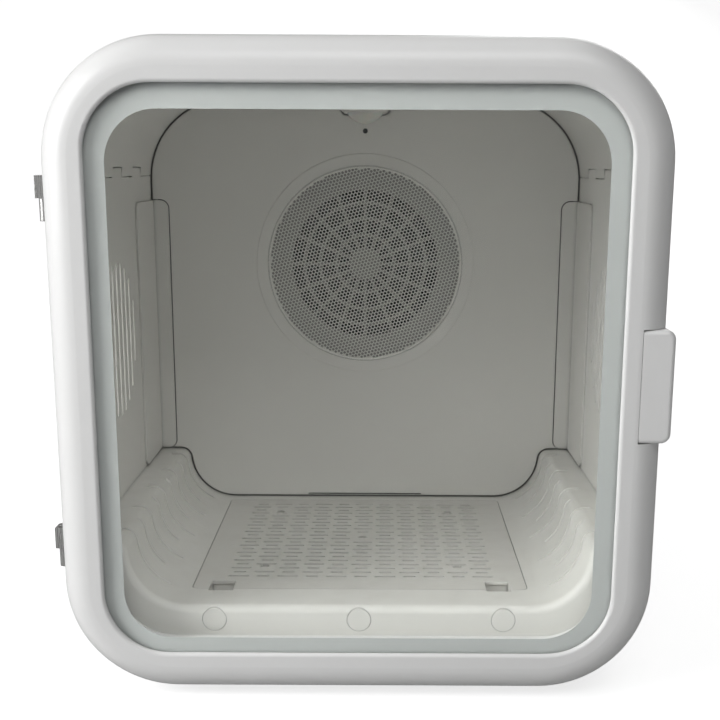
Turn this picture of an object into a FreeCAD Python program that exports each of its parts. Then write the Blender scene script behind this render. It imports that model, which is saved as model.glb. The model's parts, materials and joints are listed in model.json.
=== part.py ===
import FreeCAD, Part
import math
import os
from FreeCAD import Vector

# Pet drying cabinet: a free-standing box with a round-cornered glass door on
# the front, a moulded liner, a warm-air fan behind a perforated disc on the
# back wall, side vents and a lift-out slotted floor.
# Frame: +Z up, the door faces -Y, X runs to the right seen from the front.
# The origin lies on the standing surface, under the middle of the cabinet.

# ---------------------------------------------------------------- overall size
width = 440.0  # across the cabinet's sides
height = 475.6  # of the cabinet without its feet
depth = 440.0  # from the door's front to the rear cover's back
foot_height = 7.0
case_corner = 84.0  # corner radius of the outline seen from the front

# ------------------------------------------------------------ walls and spaces
shell_wall = 2.8
liner_wall = 2.5
wall_space = 11.0  # from the outside of a side to the cavity's wall
ceiling_space = 24.6  # from the top of the case to the cavity's ceiling
machine_depth = 97.0  # from the back wall's face to the rear of the cabinet
fit_gap = 0.3  # between separate mouldings that don't carry each other
seam_gap = 0.6  # open line between the upper and lower shells
split_height = 112.0  # of the shells' seam above the case's underside

# ------------------------------------------------------------------------ door
door_depth = 30.0
door_gap = 2.0  # between the closed door and the front bezel
door_border = 32.8  # from the door's edge to its window
window_corner = 47.0
roll_radius = 22.0  # rounding of the door's front edge
door_pocket = 16.0  # depth at which the inner frame starts
door_skirt = 3.0  # wall of the door frame around the inner frame
window_edge_round = 2.6
glass_inset = 3.0  # glass face behind the door's front face
glass_thickness = 4.0
glass_overlap = 7.0  # hidden edge of the glass behind the frame
gasket_width = 5.0
gasket_thickness = 1.0
inner_border = 3.0  # how far the inner frame reaches inside the window
handle_low = 195.0  # above the case's underside
handle_tall = 82.0
handle_inner = 19.5  # from the side of the door inwards
handle_proud = 4.0  # beyond the side of the door
handle_round = 7.0
handle_gap = 0.2
handle_front_round = 3.5
handle_set_back = 0.2  # tab's face behind the door's front face
handle_root = 2.0  # tab's rear end in front of the door's back
hollow_depth = 6.0  # finger hollow from the side of the door inwards
hollow_front = 14.0
hollow_margin = 12.0  # solid ends of the tab above and below the hollow
hollow_round = 4.0
channel_reach = 17.0  # lightening channel of the frame around the pane
channel_wall = 5.0

# ---------------------------------------------------------------------- hinges
hinge_axis_out = 4.6  # hinge axis beyond the case's side
hinge_axis_back = 8.0  # hinge axis behind the door's back
knuckle_radius = 4.2
knuckle_tall = 16.0
knuckle_gap = 0.4
hinge_places = (110.6, 105.0)  # upper below the top, lower above the underside
pin_radius = 1.8
pin_play = 0.06
leaf_thickness = 2.0
leaf_length = 22.0
leaf_screw_head = 2.6
leaf_screw_sink = 1.2  # door leaf heads lie flush in counterbores
screw_radius = 1.5
screw_play = 0.2
case_screw_head = (2.8, 1.2)  # radius and height
case_screw_share = 0.7  # place of the case leaf's screws along the leaf
door_screw_reach = (8.0, 16.0)  # from the side of the door
knuckle_floor = 2.0  # closed end of each knuckle
pin_short = 2.5  # each half of the pin is shorter than its knuckle
slot_play = 0.2  # around the door leaf in the door's skirt

# ---------------------------------------------------------------- front bezel
bezel_flange = 3.0
bezel_depth = 7.5
bezel_sill = 28.0  # cavity opening above the case's underside
seal_width = 5.0
seal_inset = 2.0  # seal from the edge of the opening
seal_gap = 0.3
magnet_size = (4.0, 4.0, 30.0)
magnet_play = 0.2
magnet_spread = 60.0  # above and below the handle's middle
plate_size = (6.0, 1.5, 40.0)
plate_play = 0.1
plate_shift = 2.0  # strike plates nearer the middle than the magnets

# ---------------------------------------------------------------------- cavity
cavity_corner = 76.0
floor_height = 55.3
ledge_height = 105.7
liner_seam_drop = 73.0  # below the cavity's ceiling
cove_radius = 45.0
ledge_round = 10.0
sill_round = 6.0  # rounding of the tub's front edge
cove_start = 76.0  # from the cavity's wall to the start of the cove
tooth_height = 8.0
tooth_length = 35.0
tooth_pitch = 78.0
rear_gap = 1.8  # dark line between the back wall and the liners
rear_reach = 5.0  # liners run on past the face of the back wall
flange_depth = 2.0  # flange of the back wall behind the liners
flange_drop = 8.0  # flange below the floor
flange_low_corner = 12.0
tooth_count = 4
tooth_rear = 4.0  # from the last tooth to the back wall
tooth_gap = 0.7  # open line of the seam
rib_width = 2.6
rib_height = 1.2
rib_pitch = 61.0
rib_first = 77.0  # from the door's front
rib_count = 5
rib_root = 0.4  # sunk into the cove
rib_rear_space = 12.0
long_rib = (57.0, 15.0)  # distances of its ends from the cavity's wall
short_rib = (47.5, 26.5)
tub_bottom = 24.0
pan_floor = 29.0
pan_rim = 10.0  # ledge that carries the floor grille
pan_front = 18.0  # ledge under the front edge of the grille
pan_corner = 8.0
pan_wall = 6.0

# ---------------------------------------------------------------- floor grille
grille_width = 270.4
grille_rear = 13.4  # rear edge in front of the back wall
grille_front = 78.0  # from the door's front
grille_thickness = 3.0
grille_corner = 5.0
grille_gap = 0.5
slot_columns = 11
slot_row_pitch = 9.81
slot_column_pitch = 20.3
slot_margins = (29.3, 16.2)  # first row behind the front edge, and least room behind the last
long_slot = 18.0
short_slot = 11.0
slot_width = 3.2
dimple_radius = 4.0
dimple_depth = 2.0
dimple_clear = (7.5, 5.0)  # no slot starts nearer than this
dimple_spread = (82.0, 78.6)
notch_width = 19.6
notch_depth = 21.0
notch_offset = 111.8
notch_drop = 12.0
notch_lead = 4.0  # tub notch in front of the grille
notch_step = 3.0  # grille notch shorter than the tub notch
tray_wall = 1.5
tray_tall = 16.0
tray_gap = 1.5
tray_corner = 4.0
plug_radius = 9.4
plug_height = 44.6
plug_pitch = 112.0
plug_gap = 0.25
plug_flange = (2.0, 1.5)  # beyond the plug, and thickness

# ----------------------------------------------------------------- side vents
vent_radius = 66.5
vent_back = 161.1  # vent centre in front of the back wall
vent_drop = 37.05  # below the middle of the side walls
vent_pitch = 15.1
vent_slot_width = 5.0
vent_slot_margin = 6.0  # least room between the outermost slot and the rim
outer_slot_width = 8.0
vent_rim = 4.0
vent_flange = 1.2
duct_wall = 2.5
duct_room = 1.0  # duct wider than the slots' circle
cover_length = 76.0  # corner cover along the side wall
cover_width = 16.5  # corner cover along the back wall
cover_low = 107.0
cover_drop = 96.0  # below the cavity's ceiling
cover_thickness = 2.0
cover_round = 8.0
cover_gap = 1.0  # dark line between cover and back wall

# ------------------------------------------------------------- fan and heater
fan_drop = 182.1  # below the top
mesh_radius = 95.0
mesh_thickness = 1.2
mesh_pitch = 8.6
mesh_hole_radius = 2.7
mesh_border = 3.0
fan_opening = 93.0
moulding_ring = (96.0, 107.0)
moulding_height = 0.6
guard_offset = 3.0  # guard behind the back wall's rear face
guard_thickness = 3.0
guard_rings = (28.5, 44.5, 60.0)
guard_solid = 72.0
guard_hub = 15.5
guard_rib = 2.8
guard_spokes = 16
guard_rim = (94.0, 96.6)
shroud_radius = 97.0
shroud_wall = 2.5
shroud_length = 56.0
shroud_flange = 112.0
shroud_screw_count = 4
shroud_flange_thickness = 3.0
shroud_screw_head = (3.2, 2.2)  # radius and height
heater_start = 11.0
heater_depth = 14.0
heater_size = 112.0
heater_bar = 5.0
fin_pitch = 4.0
fin_thickness = 0.8
ptc_rows = 3
ptc_height = 9.0
heater_arm = (12.0, 4.0)  # height and thickness
heater_arm_gap = 4.0
impeller_start = 29.0
impeller_depth = 17.0
impeller_hub = 25.0
impeller_tip = 91.5
blade_count = 9
blade_chord = 26.0
blade_thickness = 2.0
blade_tilt = 34.0
hub_round = 4.0
hub_face = 3.0
shaft_radius = 3.0
shaft_play = 0.06
mount_start = 49.0
mount_depth = 4.0
mount_arms = 3
mount_arm_width = 9.0
motor_radius = 30.0
motor_length = 20.0
motor_boss = (8.0, 3.0)  # radius and height
motor_boss_hole = 9.0
motor_end = 4.0
motor_bore = 14.5
shaft_end = 14.0
arm_gap = 0.4

# ---------------------------------------------------------- rear of the cabinet
cover_depth = 12.0
cover_edge = 9.0
frame_depth = 10.0
frame_band = 24.0
filter_radius = 70.0
filter_clear = 0.5
filter_cap = 5.5
filter_pad_thickness = 7.0
well_wall = 2.5
well_grid = 2.0
well_drop = 1.0
well_rings = (20.0, 44.0)
well_bar = 3.0
well_bars = 4
cap_drop = 0.4  # cap's face below the rear face
cap_spokes = 3
cap_spoke_width = 5.0
grip_depth = 3.0
filter_slot_rings = (18.0, 30.0, 42.0, 54.0)
filter_slot_width = 5.0
grip_radius = 9.0
rear_screw_inset = (38.0, 87.8)  # from the sides, and from top and bottom
rear_screw_head = 4.0
rear_screw_seat = 4.0  # screw heads sink to this depth from the cover's front
rear_head_drop = 1.2  # heads below the rear face
rear_boss_wall = 2.5
rear_boss_drop = 4.0
screw_cross = (4.8, 1.0, 1.2)  # length, width and depth of the drive
skirt_share = 0.3  # of the cover's edge rounding that its skirt keeps
cover_face = 5.2
inlet_size = (27.6, 19.8)
inlet_place = (120.0, 46.0)
inlet_depth = 20.0
inlet_mouth = (22.6, 15.2)
inlet_mouth_depth = 15.0
inlet_round = 3.0
inlet_drop = 0.5
mouth_round = 3.5
pin_places = ((-7.0, -1.5), (0.0, 2.0), (7.0, -1.5))
pin_half = (1.0, 2.0)
pin_ends = (2.0, 4.0)  # from the inlet's bottom and from the rear face
rear_part_gap = 0.2
rocker_place = (78.0, 46.0)
rocker_frame_size = (19.0, 27.0)
rocker_size = (13.0, 17.0)
rocker_tilt = 8.0
rocker_drop = 1.0
rocker_well = (0.6, 1.6, 14.0)  # room at the sides, at the ends, and depth
rocker_pivot = 6.0
rocker_profile = ((-3.0, -0.6), (4.4, -1.0), (3.2, 0.0), (4.4, 1.0), (-3.0, 0.6))

# ------------------------------------------------------------ controls and lamp
panel_size = (130.0, 34.0)
panel_corner = 8.0
panel_front = 14.0  # behind the case's front edge
board_drop = 6.0
board_thickness = 1.6
panel_drop = 0.25  # face of the panel below the top
panel_rib = (4.0, 3.0, 2.0)  # inset across, inset along, and depth
control_size = (124.0, 32.0)
control_parts = ((-40.0, -20.0, 8.0, 24.0, 2.0), (10.0, 40.0, 10.0, 22.0, 2.5))
supply_place = (-110.0, 14.0, 8.0)  # left end, behind the back wall, above the case
supply_size = (140.0, 56.0)
supply_parts = ((10.0, 44.0, 10.0, 42.0, 26.0), (54.0, 80.0, 12.0, 40.0, 18.0))
supply_cans = ((100.0, 20.0), (122.0, 20.0))
can_size = (8.0, 24.0)
post_radius = 3.0
post_inset = 6.0
lamp_width = 47.0
lamp_depth = 32.0
lamp_drop = 14.0
lamp_round = 6.0
lamp_recess = 2.0  # housing reaches this far into the back wall
lamp_play = 1.4
dome_radius = 16.5
dome_drop = 9.5
probe_drop = 29.5  # below the cavity's ceiling
probe_radius = 2.4
probe_play = 0.2
probe_sink = 0.6
probe_collar = (4.4, 4.0)  # radius and height
slit_size = (116.0, 0.6, 2.0)  # length, lower and upper edge above the floor
foot_radius = 12.0
foot_tip_radius = 10.0
foot_inset = (105.0, 60.0)

# --------------------------------------------------------------- derived places
half = width / 2
front = -depth / 2
rear = depth / 2
base = foot_height
top = base + height
door_back = front + door_depth
case_front = door_back + door_gap
liner_front = case_front + bezel_depth
back_wall = rear - machine_depth
panel_rear = back_wall + liner_wall
cover_front = rear - cover_depth
cavity_half = half - wall_space
cavity_top = top - ceiling_space
floor_z = base + floor_height
ledge_z = base + ledge_height
seam_z = cavity_top - liner_seam_drop
split_z = base + split_height
fan_height = height - fan_drop
fan_z = base + fan_height
vent_y = back_wall - vent_back
vent_slots = 2 * int((vent_radius - vent_slot_margin) / vent_pitch) + 1
hinge_heights = {"upper": height - hinge_places[0], "lower": hinge_places[1]}
vent_z = (ledge_z + cavity_top) / 2 - vent_drop
hinge_x = -half - hinge_axis_out
hinge_y = door_back + hinge_axis_back
window_half = half - door_border
window_low = base + door_border
window_high = top - door_border
handle_mid = base + handle_low + handle_tall / 2
grille_y = front + grille_front
grille_length = back_wall - grille_rear - grille_y
slot_rows = int((grille_length - sum(slot_margins)) / slot_row_pitch) + 1
liner_rear = back_wall + rear_reach
axis_x = Vector(1, 0, 0)
axis_y = Vector(0, 1, 0)
axis_z = Vector(0, 0, 1)


# ------------------------------------------------------------------ plain shapes
def box(x0, x1, y0, y1, z0, z1):
    """Block between two corners."""
    return Part.makeBox(x1 - x0, y1 - y0, z1 - z0, Vector(x0, y0, z0))


def disc(x, z, radius, y0, y1):
    """Cylinder that lies along Y."""
    return Part.makeCylinder(radius, y1 - y0, Vector(x, y0, z), axis_y)


def ring(x, z, inner, outer, y0, y1):
    """Tube that lies along Y."""
    return disc(x, z, outer, y0, y1).cut(disc(x, z, inner, y0 - 1, y1 + 1))


def upright(x, y, radius, z0, z1):
    """Cylinder that stands along Z."""
    return Part.makeCylinder(radius, z1 - z0, Vector(x, y, z0), axis_z)


def rounded_wire(x0, x1, z0, z1, low_radius, high_radius, y):
    """Rounded rectangle in a plane of constant Y."""
    corners = [
        (x0 + low_radius, z0 + low_radius, low_radius, 180),
        (x1 - low_radius, z0 + low_radius, low_radius, 270),
        (x1 - high_radius, z1 - high_radius, high_radius, 0),
        (x0 + high_radius, z1 - high_radius, high_radius, 90),
    ]
    arcs = []
    for cx, cz, radius, start in corners:
        turns = [math.radians(start + step) for step in (0, 45, 90)]
        points = [Vector(cx + radius * math.cos(t), y, cz + radius * math.sin(t)) for t in turns]
        arcs.append(points)
    edges = []
    for number, points in enumerate(arcs):
        edges.append(Part.Arc(*points).toShape())
        following = arcs[(number + 1) % len(arcs)][0]
        if points[2].distanceToPoint(following) > 0.001:
            edges.append(Part.makeLine(points[2], following))
    return Part.Wire(Part.__sortEdges__(edges))


def plate(half_width, z0, z1, radius, y0, y1, low_radius=None):
    """Slab along Y with a rounded rectangular outline, centred on X."""
    low = radius if low_radius is None else low_radius
    wire = rounded_wire(-half_width, half_width, z0, z1, low, radius, y0)
    return Part.Face(wire).extrude(Vector(0, y1 - y0, 0))


def inset_plate(inset, y0, y1):
    """Slab with the case's outline, drawn in by an inset."""
    return plate(half - inset, base + inset, top - inset, case_corner - inset, y0, y1)


def cavity_plate(grow, y0, y1, low=None):
    """Slab with the outline of the cavity, grown outwards."""
    sill = base + bezel_sill if low is None else low
    return plate(cavity_half + grow, sill - grow, cavity_top + grow, cavity_corner + grow, y0, y1)


def window_plate(grow, y0, y1):
    """Slab with the outline of the door's window, grown outwards."""
    corner = window_corner + grow
    return plate(window_half + grow, window_low - grow, window_high + grow, corner, y0, y1)


def edges_along(solid, axis, keep=None):
    """Straight edges that run along an axis and pass a test on their middle."""
    chosen = []
    for edge in solid.Edges:
        direction = edge.tangentAt(edge.FirstParameter)
        if abs(direction.dot(axis)) > 0.99 and (keep is None or keep(edge.CenterOfMass)):
            chosen.append(edge)
    return chosen


def edges_at(solid, y):
    """Edges that lie in the plane at a depth."""
    return [e for e in solid.Edges if e.BoundBox.YMax < y + 0.01 and e.BoundBox.YMin > y - 0.01]


def flat_rounded(x0, x1, y0, y1, radius, z0, z1):
    """Slab that lies flat, with rounded corners seen from above."""
    solid = box(x0, x1, y0, y1, z0, z1)
    return solid.makeFillet(radius, edges_along(solid, axis_z))


def fuse_all(shapes):
    """One shape from several that meet."""
    return shapes[0].multiFuse(shapes[1:]).removeSplitter()


def cut_all(solid, tools):
    """Solid less a list of tools."""
    return solid.cut(Part.makeCompound(tools))


def mirrored(shape):
    """The same shape on the other side of the cabinet."""
    return shape.mirror(Vector(0, 0, 0), Vector(1, 0, 0))


def polygon_yz(points, x0, x1):
    """Prism along X with a polygon outline in Y and Z."""
    corners = [Vector(x0, y, z) for y, z in points]
    wire = Part.makePolygon(corners + [corners[0]])
    return Part.Face(wire).extrude(Vector(x1 - x0, 0, 0))


def round_y_edges(solid, radius, keep):
    """Fillets the edges that run along Y and pass a test on their middle."""
    return solid.makeFillet(radius, edges_along(solid, axis_y, keep))


def block_about(x, z, w, h, grow, y0, y1):
    """Block of a width and a height about a point, grown sideways."""
    across = w / 2 + grow
    up = h / 2 + grow
    return box(x - across, x + across, y0, y1, base + z - up, base + z + up)


# -------------------------------------------------------------------- the case
def vent_hole(y, z, radius, x0, x1):
    """Round opening along X through a side."""
    return Part.makeCylinder(radius, x1 - x0, Vector(x0, y, z), axis_x)


def vent_slot_tools(x0, x1, slot):
    """Upright slots of a given width whose ends follow a circle."""
    tools = []
    r = slot / 2
    for number in range(vent_slots):
        shift = (number - (vent_slots - 1) / 2) * vent_pitch
        reach = math.sqrt(vent_radius**2 - shift**2) - r
        y = vent_y + shift
        tools.append(box(x0, x1, y - r, y + r, vent_z - reach, vent_z + reach))
        tools.append(vent_hole(y, vent_z + reach, r, x0, x1))
        tools.append(vent_hole(y, vent_z - reach, r, x0, x1))
    return tools


def hinge_screw_places(z_middle):
    """Heights of a case leaf's two screws."""
    low = z_middle - knuckle_gap / 2 - knuckle_tall
    return [low + knuckle_tall * share for share in (0.25, 0.75)]


def case_leaf_screw_y():
    """Depth of the case leaf's screws."""
    return hinge_y + leaf_length * case_screw_share


def case_tube():
    """Whole outer wall, before it is parted into shells."""
    outer = inset_plate(0, case_front + bezel_flange, cover_front)
    inner = inset_plate(shell_wall, case_front, cover_front + 1)
    tube = outer.cut(inner)
    hole = vent_radius + vent_rim + fit_gap
    tube = tube.cut(vent_hole(vent_y, vent_z, hole, -half - 1, half + 1))
    for z_middle in hinge_heights.values():
        for z in hinge_screw_places(base + z_middle):
            radius = screw_radius + screw_play
            tube = tube.cut(vent_hole(case_leaf_screw_y(), z, radius, -half - 1, -half + wall_space))
    return tube


def upper_shell():
    """Inverted U: top and sides, with the panel opening and vent holes."""
    shell = case_tube().common(box(-half, half, front, rear, split_z + seam_gap / 2, top))
    return shell.cut(panel_block(fit_gap, top - shell_wall - 1, top + 1))


def lower_shell():
    """U below the seam: underside and the foot of both sides."""
    return case_tube().common(box(-half, half, front, rear, base, split_z - seam_gap / 2))


def magnet_blocks(grow):
    """Two catch magnets on the handle side, grown for their pockets."""
    blocks = []
    x_mid = cavity_half + (wall_space - shell_wall) / 2
    y_back = liner_front
    for side in (-1, 1):
        z_mid = handle_mid + side * magnet_spread
        sx, sy, sz = magnet_size
        blocks.append(
            box(
                x_mid - sx / 2 - grow,
                x_mid + sx / 2 + grow,
                y_back - sy - grow,
                y_back,
                z_mid - sz / 2 - grow,
                z_mid + sz / 2 + grow,
            )
        )
    return blocks


def front_bezel():
    """Frame around the cavity's mouth that the door closes on."""
    flange = inset_plate(0, case_front, case_front + bezel_flange)
    skirt = inset_plate(shell_wall + fit_gap, case_front + bezel_flange, liner_front)
    ring_shape = flange.fuse(skirt).removeSplitter()
    ring_shape = ring_shape.cut(cavity_plate(0, case_front - 1, liner_front + 1))
    return cut_all(ring_shape, magnet_blocks(magnet_play))


def latch_magnets():
    """Pair of catch magnets, let into the back of the bezel."""
    return Part.makeCompound(magnet_blocks(0.0))


def door_seal():
    """Rubber ring on the bezel, just short of the closed door."""
    y0 = door_back + seal_gap
    outer = cavity_plate(seal_inset + seal_width, y0, case_front)
    return outer.cut(cavity_plate(seal_inset, y0 - 1, case_front + 1))


def side_vent():
    """Right outer vent: slotted disc, flush with the side."""
    inside = half - shell_wall
    face = vent_hole(vent_y, vent_z, vent_radius + vent_rim, inside, half)
    flange = vent_hole(vent_y, vent_z, vent_radius + 2 * vent_rim, inside - vent_flange, inside)
    tools = vent_slot_tools(inside - 2 * vent_flange, half + 1, outer_slot_width)
    return cut_all(face.fuse(flange).removeSplitter(), tools)


def vent_duct():
    """Short right tube that joins the wall liner to the outer vent."""
    x0 = cavity_half + liner_wall
    x1 = half - shell_wall - vent_flange
    room = vent_radius + duct_room
    outer = vent_hole(vent_y, vent_z, room + duct_wall, x0, x1)
    return outer.cut(vent_hole(vent_y, vent_z, room, x0 - 1, x1 + 1))


def rear_frame():
    """Ring inside the shells' rear end that takes the cover's screws."""
    y0 = cover_front - frame_depth
    outer = inset_plate(shell_wall + fit_gap, y0, cover_front)
    band = outer.cut(inset_plate(shell_wall + frame_band, y0 - 1, cover_front + 1))
    return cut_all(band, rear_screw_holes(y0 - 1, cover_front + 1, screw_radius + screw_play))


def rear_screw_centres():
    """Places of the rear cover's four screws."""
    across = half - rear_screw_inset[0]
    up = height / 2 - rear_screw_inset[1]
    z_mid = base + height / 2
    return [(sx * across, z_mid + sz * up) for sx in (-1, 1) for sz in (-1, 1)]


def rear_screw_holes(y0, y1, radius):
    """Cylinders along Y at the rear screws' places."""
    return [disc(x, z, radius, y0, y1) for x, z in rear_screw_centres()]


def rear_screws():
    """Four pan-head screws that hold the rear cover."""
    y_head = rear - rear_head_drop
    seat = cover_front + rear_screw_seat
    long, wide, deep = screw_cross
    screws = []
    for x, z in rear_screw_centres():
        head = disc(x, z, rear_screw_head, seat, y_head)
        cross = [
            block_about(x, z - base, long, wide, 0, y_head - deep, y_head + 1),
            block_about(x, z - base, wide, long, 0, y_head - deep, y_head + 1),
        ]
        shank = disc(x, z, screw_radius, cover_front - frame_depth + 1, seat)
        screws.append(cut_all(head.fuse(shank), cross))
    return Part.makeCompound(screws)


# ---------------------------------------------------------------- rear openings
def inlet_block(grow, y0, y1):
    """Outline of the power inlet, grown for its hole."""
    x, z = inlet_place
    solid = block_about(x, z, *inlet_size, grow, y0, y1)
    return round_y_edges(solid, inlet_round, lambda middle: middle.z < base + z)


def power_inlet():
    """Recessed three-pin appliance inlet."""
    x, z = inlet_place
    body = inlet_block(0, rear - inlet_depth, rear - inlet_drop)
    mouth = block_about(x, z, *inlet_mouth, 0, rear - inlet_mouth_depth, rear)
    mouth = round_y_edges(mouth, mouth_round, lambda middle: middle.z < base + z)
    return cut_all(body, [mouth] + inlet_pin_blocks(pin_play))


def inlet_pin_blocks(grow):
    """Three flat pins inside the inlet."""
    x, z = inlet_place
    w, h = pin_half
    deep, short = pin_ends
    pins = []
    for shift, rise in pin_places:
        y0 = rear - inlet_depth + deep
        pins.append(block_about(x + shift, z + rise, 2 * w, 2 * h, grow, y0, rear - short))
    return pins


def inlet_pins():
    """The inlet's three pins."""
    return Part.makeCompound(inlet_pin_blocks(0.0))


def rocker_block(grow, y0, y1):
    """Outline of the rocker's frame, grown for its hole."""
    return block_about(*rocker_place, *rocker_frame_size, grow, y0, y1)


def rocker_frame():
    """Housing of the mains switch."""
    w, h = rocker_size
    side, end, deep = rocker_well
    body = rocker_block(0, rear - inlet_depth, rear - rocker_drop)
    return body.cut(block_about(*rocker_place, w + 2 * side, h + 2 * end, 0, rear - deep, rear))


def power_rocker():
    """Mains rocker, resting with its upper end pressed in."""
    x, z = rocker_place
    w, h = rocker_size
    pivot_y = rear - rocker_pivot
    points = [(pivot_y + y, base + z + share * h / 2) for y, share in rocker_profile]
    body = polygon_yz(points, x - w / 2, x + w / 2)
    body.rotate(Vector(x, pivot_y, base + z), axis_x, rocker_tilt)
    return body


def filter_well():
    """Round well in the rear cover that holds the air filter."""
    y0 = rear - filter_cap - filter_pad_thickness - 2 * filter_clear - well_grid
    wall = ring(0, fan_z, filter_radius, filter_radius + well_wall, y0, rear - well_drop)
    bars = [ring(0, fan_z, r, r + well_bar, y0, y0 + well_grid) for r in well_rings]
    reach = 2 * filter_radius + well_wall
    for number in range(well_bars):
        bar = block_about(0, fan_height, reach, well_bar, 0, y0, y0 + well_grid)
        bar.rotate(Vector(0, y0, fan_z), axis_y, 180.0 * number / well_bars)
        bars.append(bar)
    return fuse_all([wall] + bars)


def rear_cover():
    """Dished cover over the machine space, with the filter well."""
    outer = inset_plate(0, cover_front, rear)
    rim = [edge for edge in outer.Edges if edge.BoundBox.YMin > rear - 0.01]
    outer = outer.makeFillet(cover_edge, rim)
    skirt = cover_edge * skirt_share + shell_wall
    cover = outer.cut(inset_plate(skirt, cover_front - 1, rear - cover_face))
    cover = cover.cut(disc(0, fan_z, filter_radius, cover_front - 1, rear + 1))
    bosses = rear_screw_holes(cover_front, rear - rear_boss_drop, rear_screw_head + rear_boss_wall)
    cover = fuse_all([cover, filter_well()] + bosses)
    tools = rear_screw_holes(cover_front - 1, rear + 1, screw_radius + screw_play)
    tools += rear_screw_holes(cover_front + rear_screw_seat, rear + 1, rear_screw_head + screw_play)
    tools.append(inlet_block(rear_part_gap, cover_front - 1, rear + 1))
    tools.append(rocker_block(rear_part_gap, cover_front - 1, rear + 1))
    return cut_all(cover, tools)


def filter_cover():
    """Round slotted cap that pulls off the rear."""
    radius = filter_radius - filter_clear
    cap = disc(0, fan_z, radius, rear - filter_cap, rear - cap_drop)
    spokes = []
    for number in range(cap_spokes):
        bar = block_about(0, fan_height, 2 * radius, cap_spoke_width, 0, rear - filter_cap - 1, rear + 1)
        bar.rotate(Vector(0, rear, fan_z), axis_y, 180.0 * number / cap_spokes)
        spokes.append(bar)
    slots = []
    for inner in filter_slot_rings:
        slots.append(ring(0, fan_z, inner, inner + filter_slot_width, rear - filter_cap - 1, rear + 1))
    cap = cap.cut(Part.makeCompound(slots).cut(fuse_all(spokes)))
    return cap.cut(disc(0, fan_z, grip_radius, rear - grip_depth, rear + 1))


def filter_pad():
    """Foam disc behind the cap."""
    y1 = rear - filter_cap - filter_clear
    return disc(0, fan_z, filter_radius - 2 * filter_clear, y1 - filter_pad_thickness, y1)


# ------------------------------------------------------------------ the liners
def seam_region(raise_by, y0, y1):
    """Space under the castellated seam between wall and ceiling liners."""
    low = seam_z
    high = seam_z + tooth_height
    points = [(y0, base), (y0, low + raise_by)]
    first = back_wall - tooth_rear - tooth_pitch * (tooth_count - 1)
    for number in range(tooth_count):
        start = first + tooth_pitch * number - raise_by
        end = start + tooth_length + 2 * raise_by
        if start <= y0 + 1 or end >= y1 - 1:
            continue
        points += [(start, low + raise_by), (start, high + raise_by)]
        points += [(end, high + raise_by), (end, low + raise_by)]
    points += [(y1, low + raise_by), (y1, base)]
    return polygon_yz(points, -half, half)


def wall_liner():
    """Right cavity wall with its vent slots."""
    x1 = cavity_half + liner_wall
    wall = box(cavity_half, x1, liner_front, liner_rear, ledge_z, seam_z + tooth_height)
    wall = wall.common(seam_region(0, liner_front - 1, liner_rear + 1))
    return cut_all(wall, vent_slot_tools(cavity_half - 1, x1 + 1, vent_slot_width))


def ceiling_liner():
    """Inverted U over the cavity, down to the seam."""
    outer = cavity_plate(liner_wall, liner_front, liner_rear)
    shape = outer.cut(cavity_plate(0, liner_front - 1, liner_rear + 1))
    shape = shape.common(box(-half, half, front, rear, seam_z - 1, top))
    return shape.cut(seam_region(tooth_gap, liner_front - 2, liner_rear + 2))


def tub_face(offset, edge, low, y):
    """Section under the tub's upper surface, which is lowered by an offset."""
    x1 = cavity_half - cove_start
    z1 = floor_z + cove_radius
    z2 = ledge_z - ledge_round
    reach = cove_radius + ledge_round
    x2 = x1 + math.sqrt(reach**2 - (z2 - z1) ** 2)
    turn = math.atan2(z2 - z1, x2 - x1)
    deep = cove_radius + offset
    tight = ledge_round - offset
    cove = [x1 + deep * math.cos(a) for a in (-math.pi / 2, (turn - math.pi / 2) / 2, turn)]
    cove_z = [z1 + deep * math.sin(a) for a in (-math.pi / 2, (turn - math.pi / 2) / 2, turn)]
    start = math.pi + turn
    middle = (start + math.pi / 2) / 2
    lip = [x2 + tight * math.cos(a) for a in (start, middle, math.pi / 2)]
    lip_z = [z2 + tight * math.sin(a) for a in (start, middle, math.pi / 2)]
    edges = []
    for side in (-1, 1):
        place = [Vector(side * x, y, z) for x, z in zip(cove + lip, cove_z + lip_z)]
        edges.append(Part.Arc(place[0], place[1], place[2]).toShape())
        edges.append(Part.Arc(place[2], place[4], place[5]).toShape())
        outer = Vector(side * edge, y, ledge_z - offset)
        edges.append(Part.makeLine(place[5], outer))
        edges.append(Part.makeLine(outer, Vector(side * edge, y, low)))
    edges.append(Part.makeLine(Vector(-edge, y, low), Vector(edge, y, low)))
    edges.append(Part.makeLine(Vector(-x1, y, floor_z - offset), Vector(x1, y, floor_z - offset)))
    return Part.Face(Part.Wire(Part.__sortEdges__(edges)))


def tub_block(offset, edge, low, y0, y1):
    """Solid under the tub's surface, between two depths."""
    return tub_face(offset, edge, low, y0).extrude(Vector(0, y1 - y0, 0))


def tub_rib(y, ends):
    """Raised rib over the right cove, between two distances from the wall."""
    edge = cavity_half + liner_wall
    low = base + tub_bottom
    band = tub_block(-rib_height, edge, low, y - rib_width / 2, y + rib_width / 2)
    band = band.cut(tub_block(rib_root, edge + 1, low - 1, y - rib_width, y + rib_width))
    far, near = ends
    return band.common(box(cavity_half - far, cavity_half - near, front, rear, base, top))


def tub_ribs():
    """Long and short ribs by turns along both coves."""
    ribs = []
    for number in range(rib_count):
        y = front + rib_first + rib_pitch * number
        if y < back_wall - rib_rear_space:
            ribs.append(tub_rib(y, long_rib))
        y += rib_pitch / 2
        if y < back_wall - rib_rear_space:
            ribs.append(tub_rib(y, short_rib))
    return ribs + [mirrored(rib) for rib in ribs]


def grille_outline(grow, z0, z1):
    """Footprint of the floor grille, grown for its seat."""
    w = grille_width / 2 + grow
    y0 = grille_y - grow
    y1 = grille_y + grille_length + grow
    return flat_rounded(-w, w, y0, y1, grille_corner + grow, z0, z1)


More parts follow.
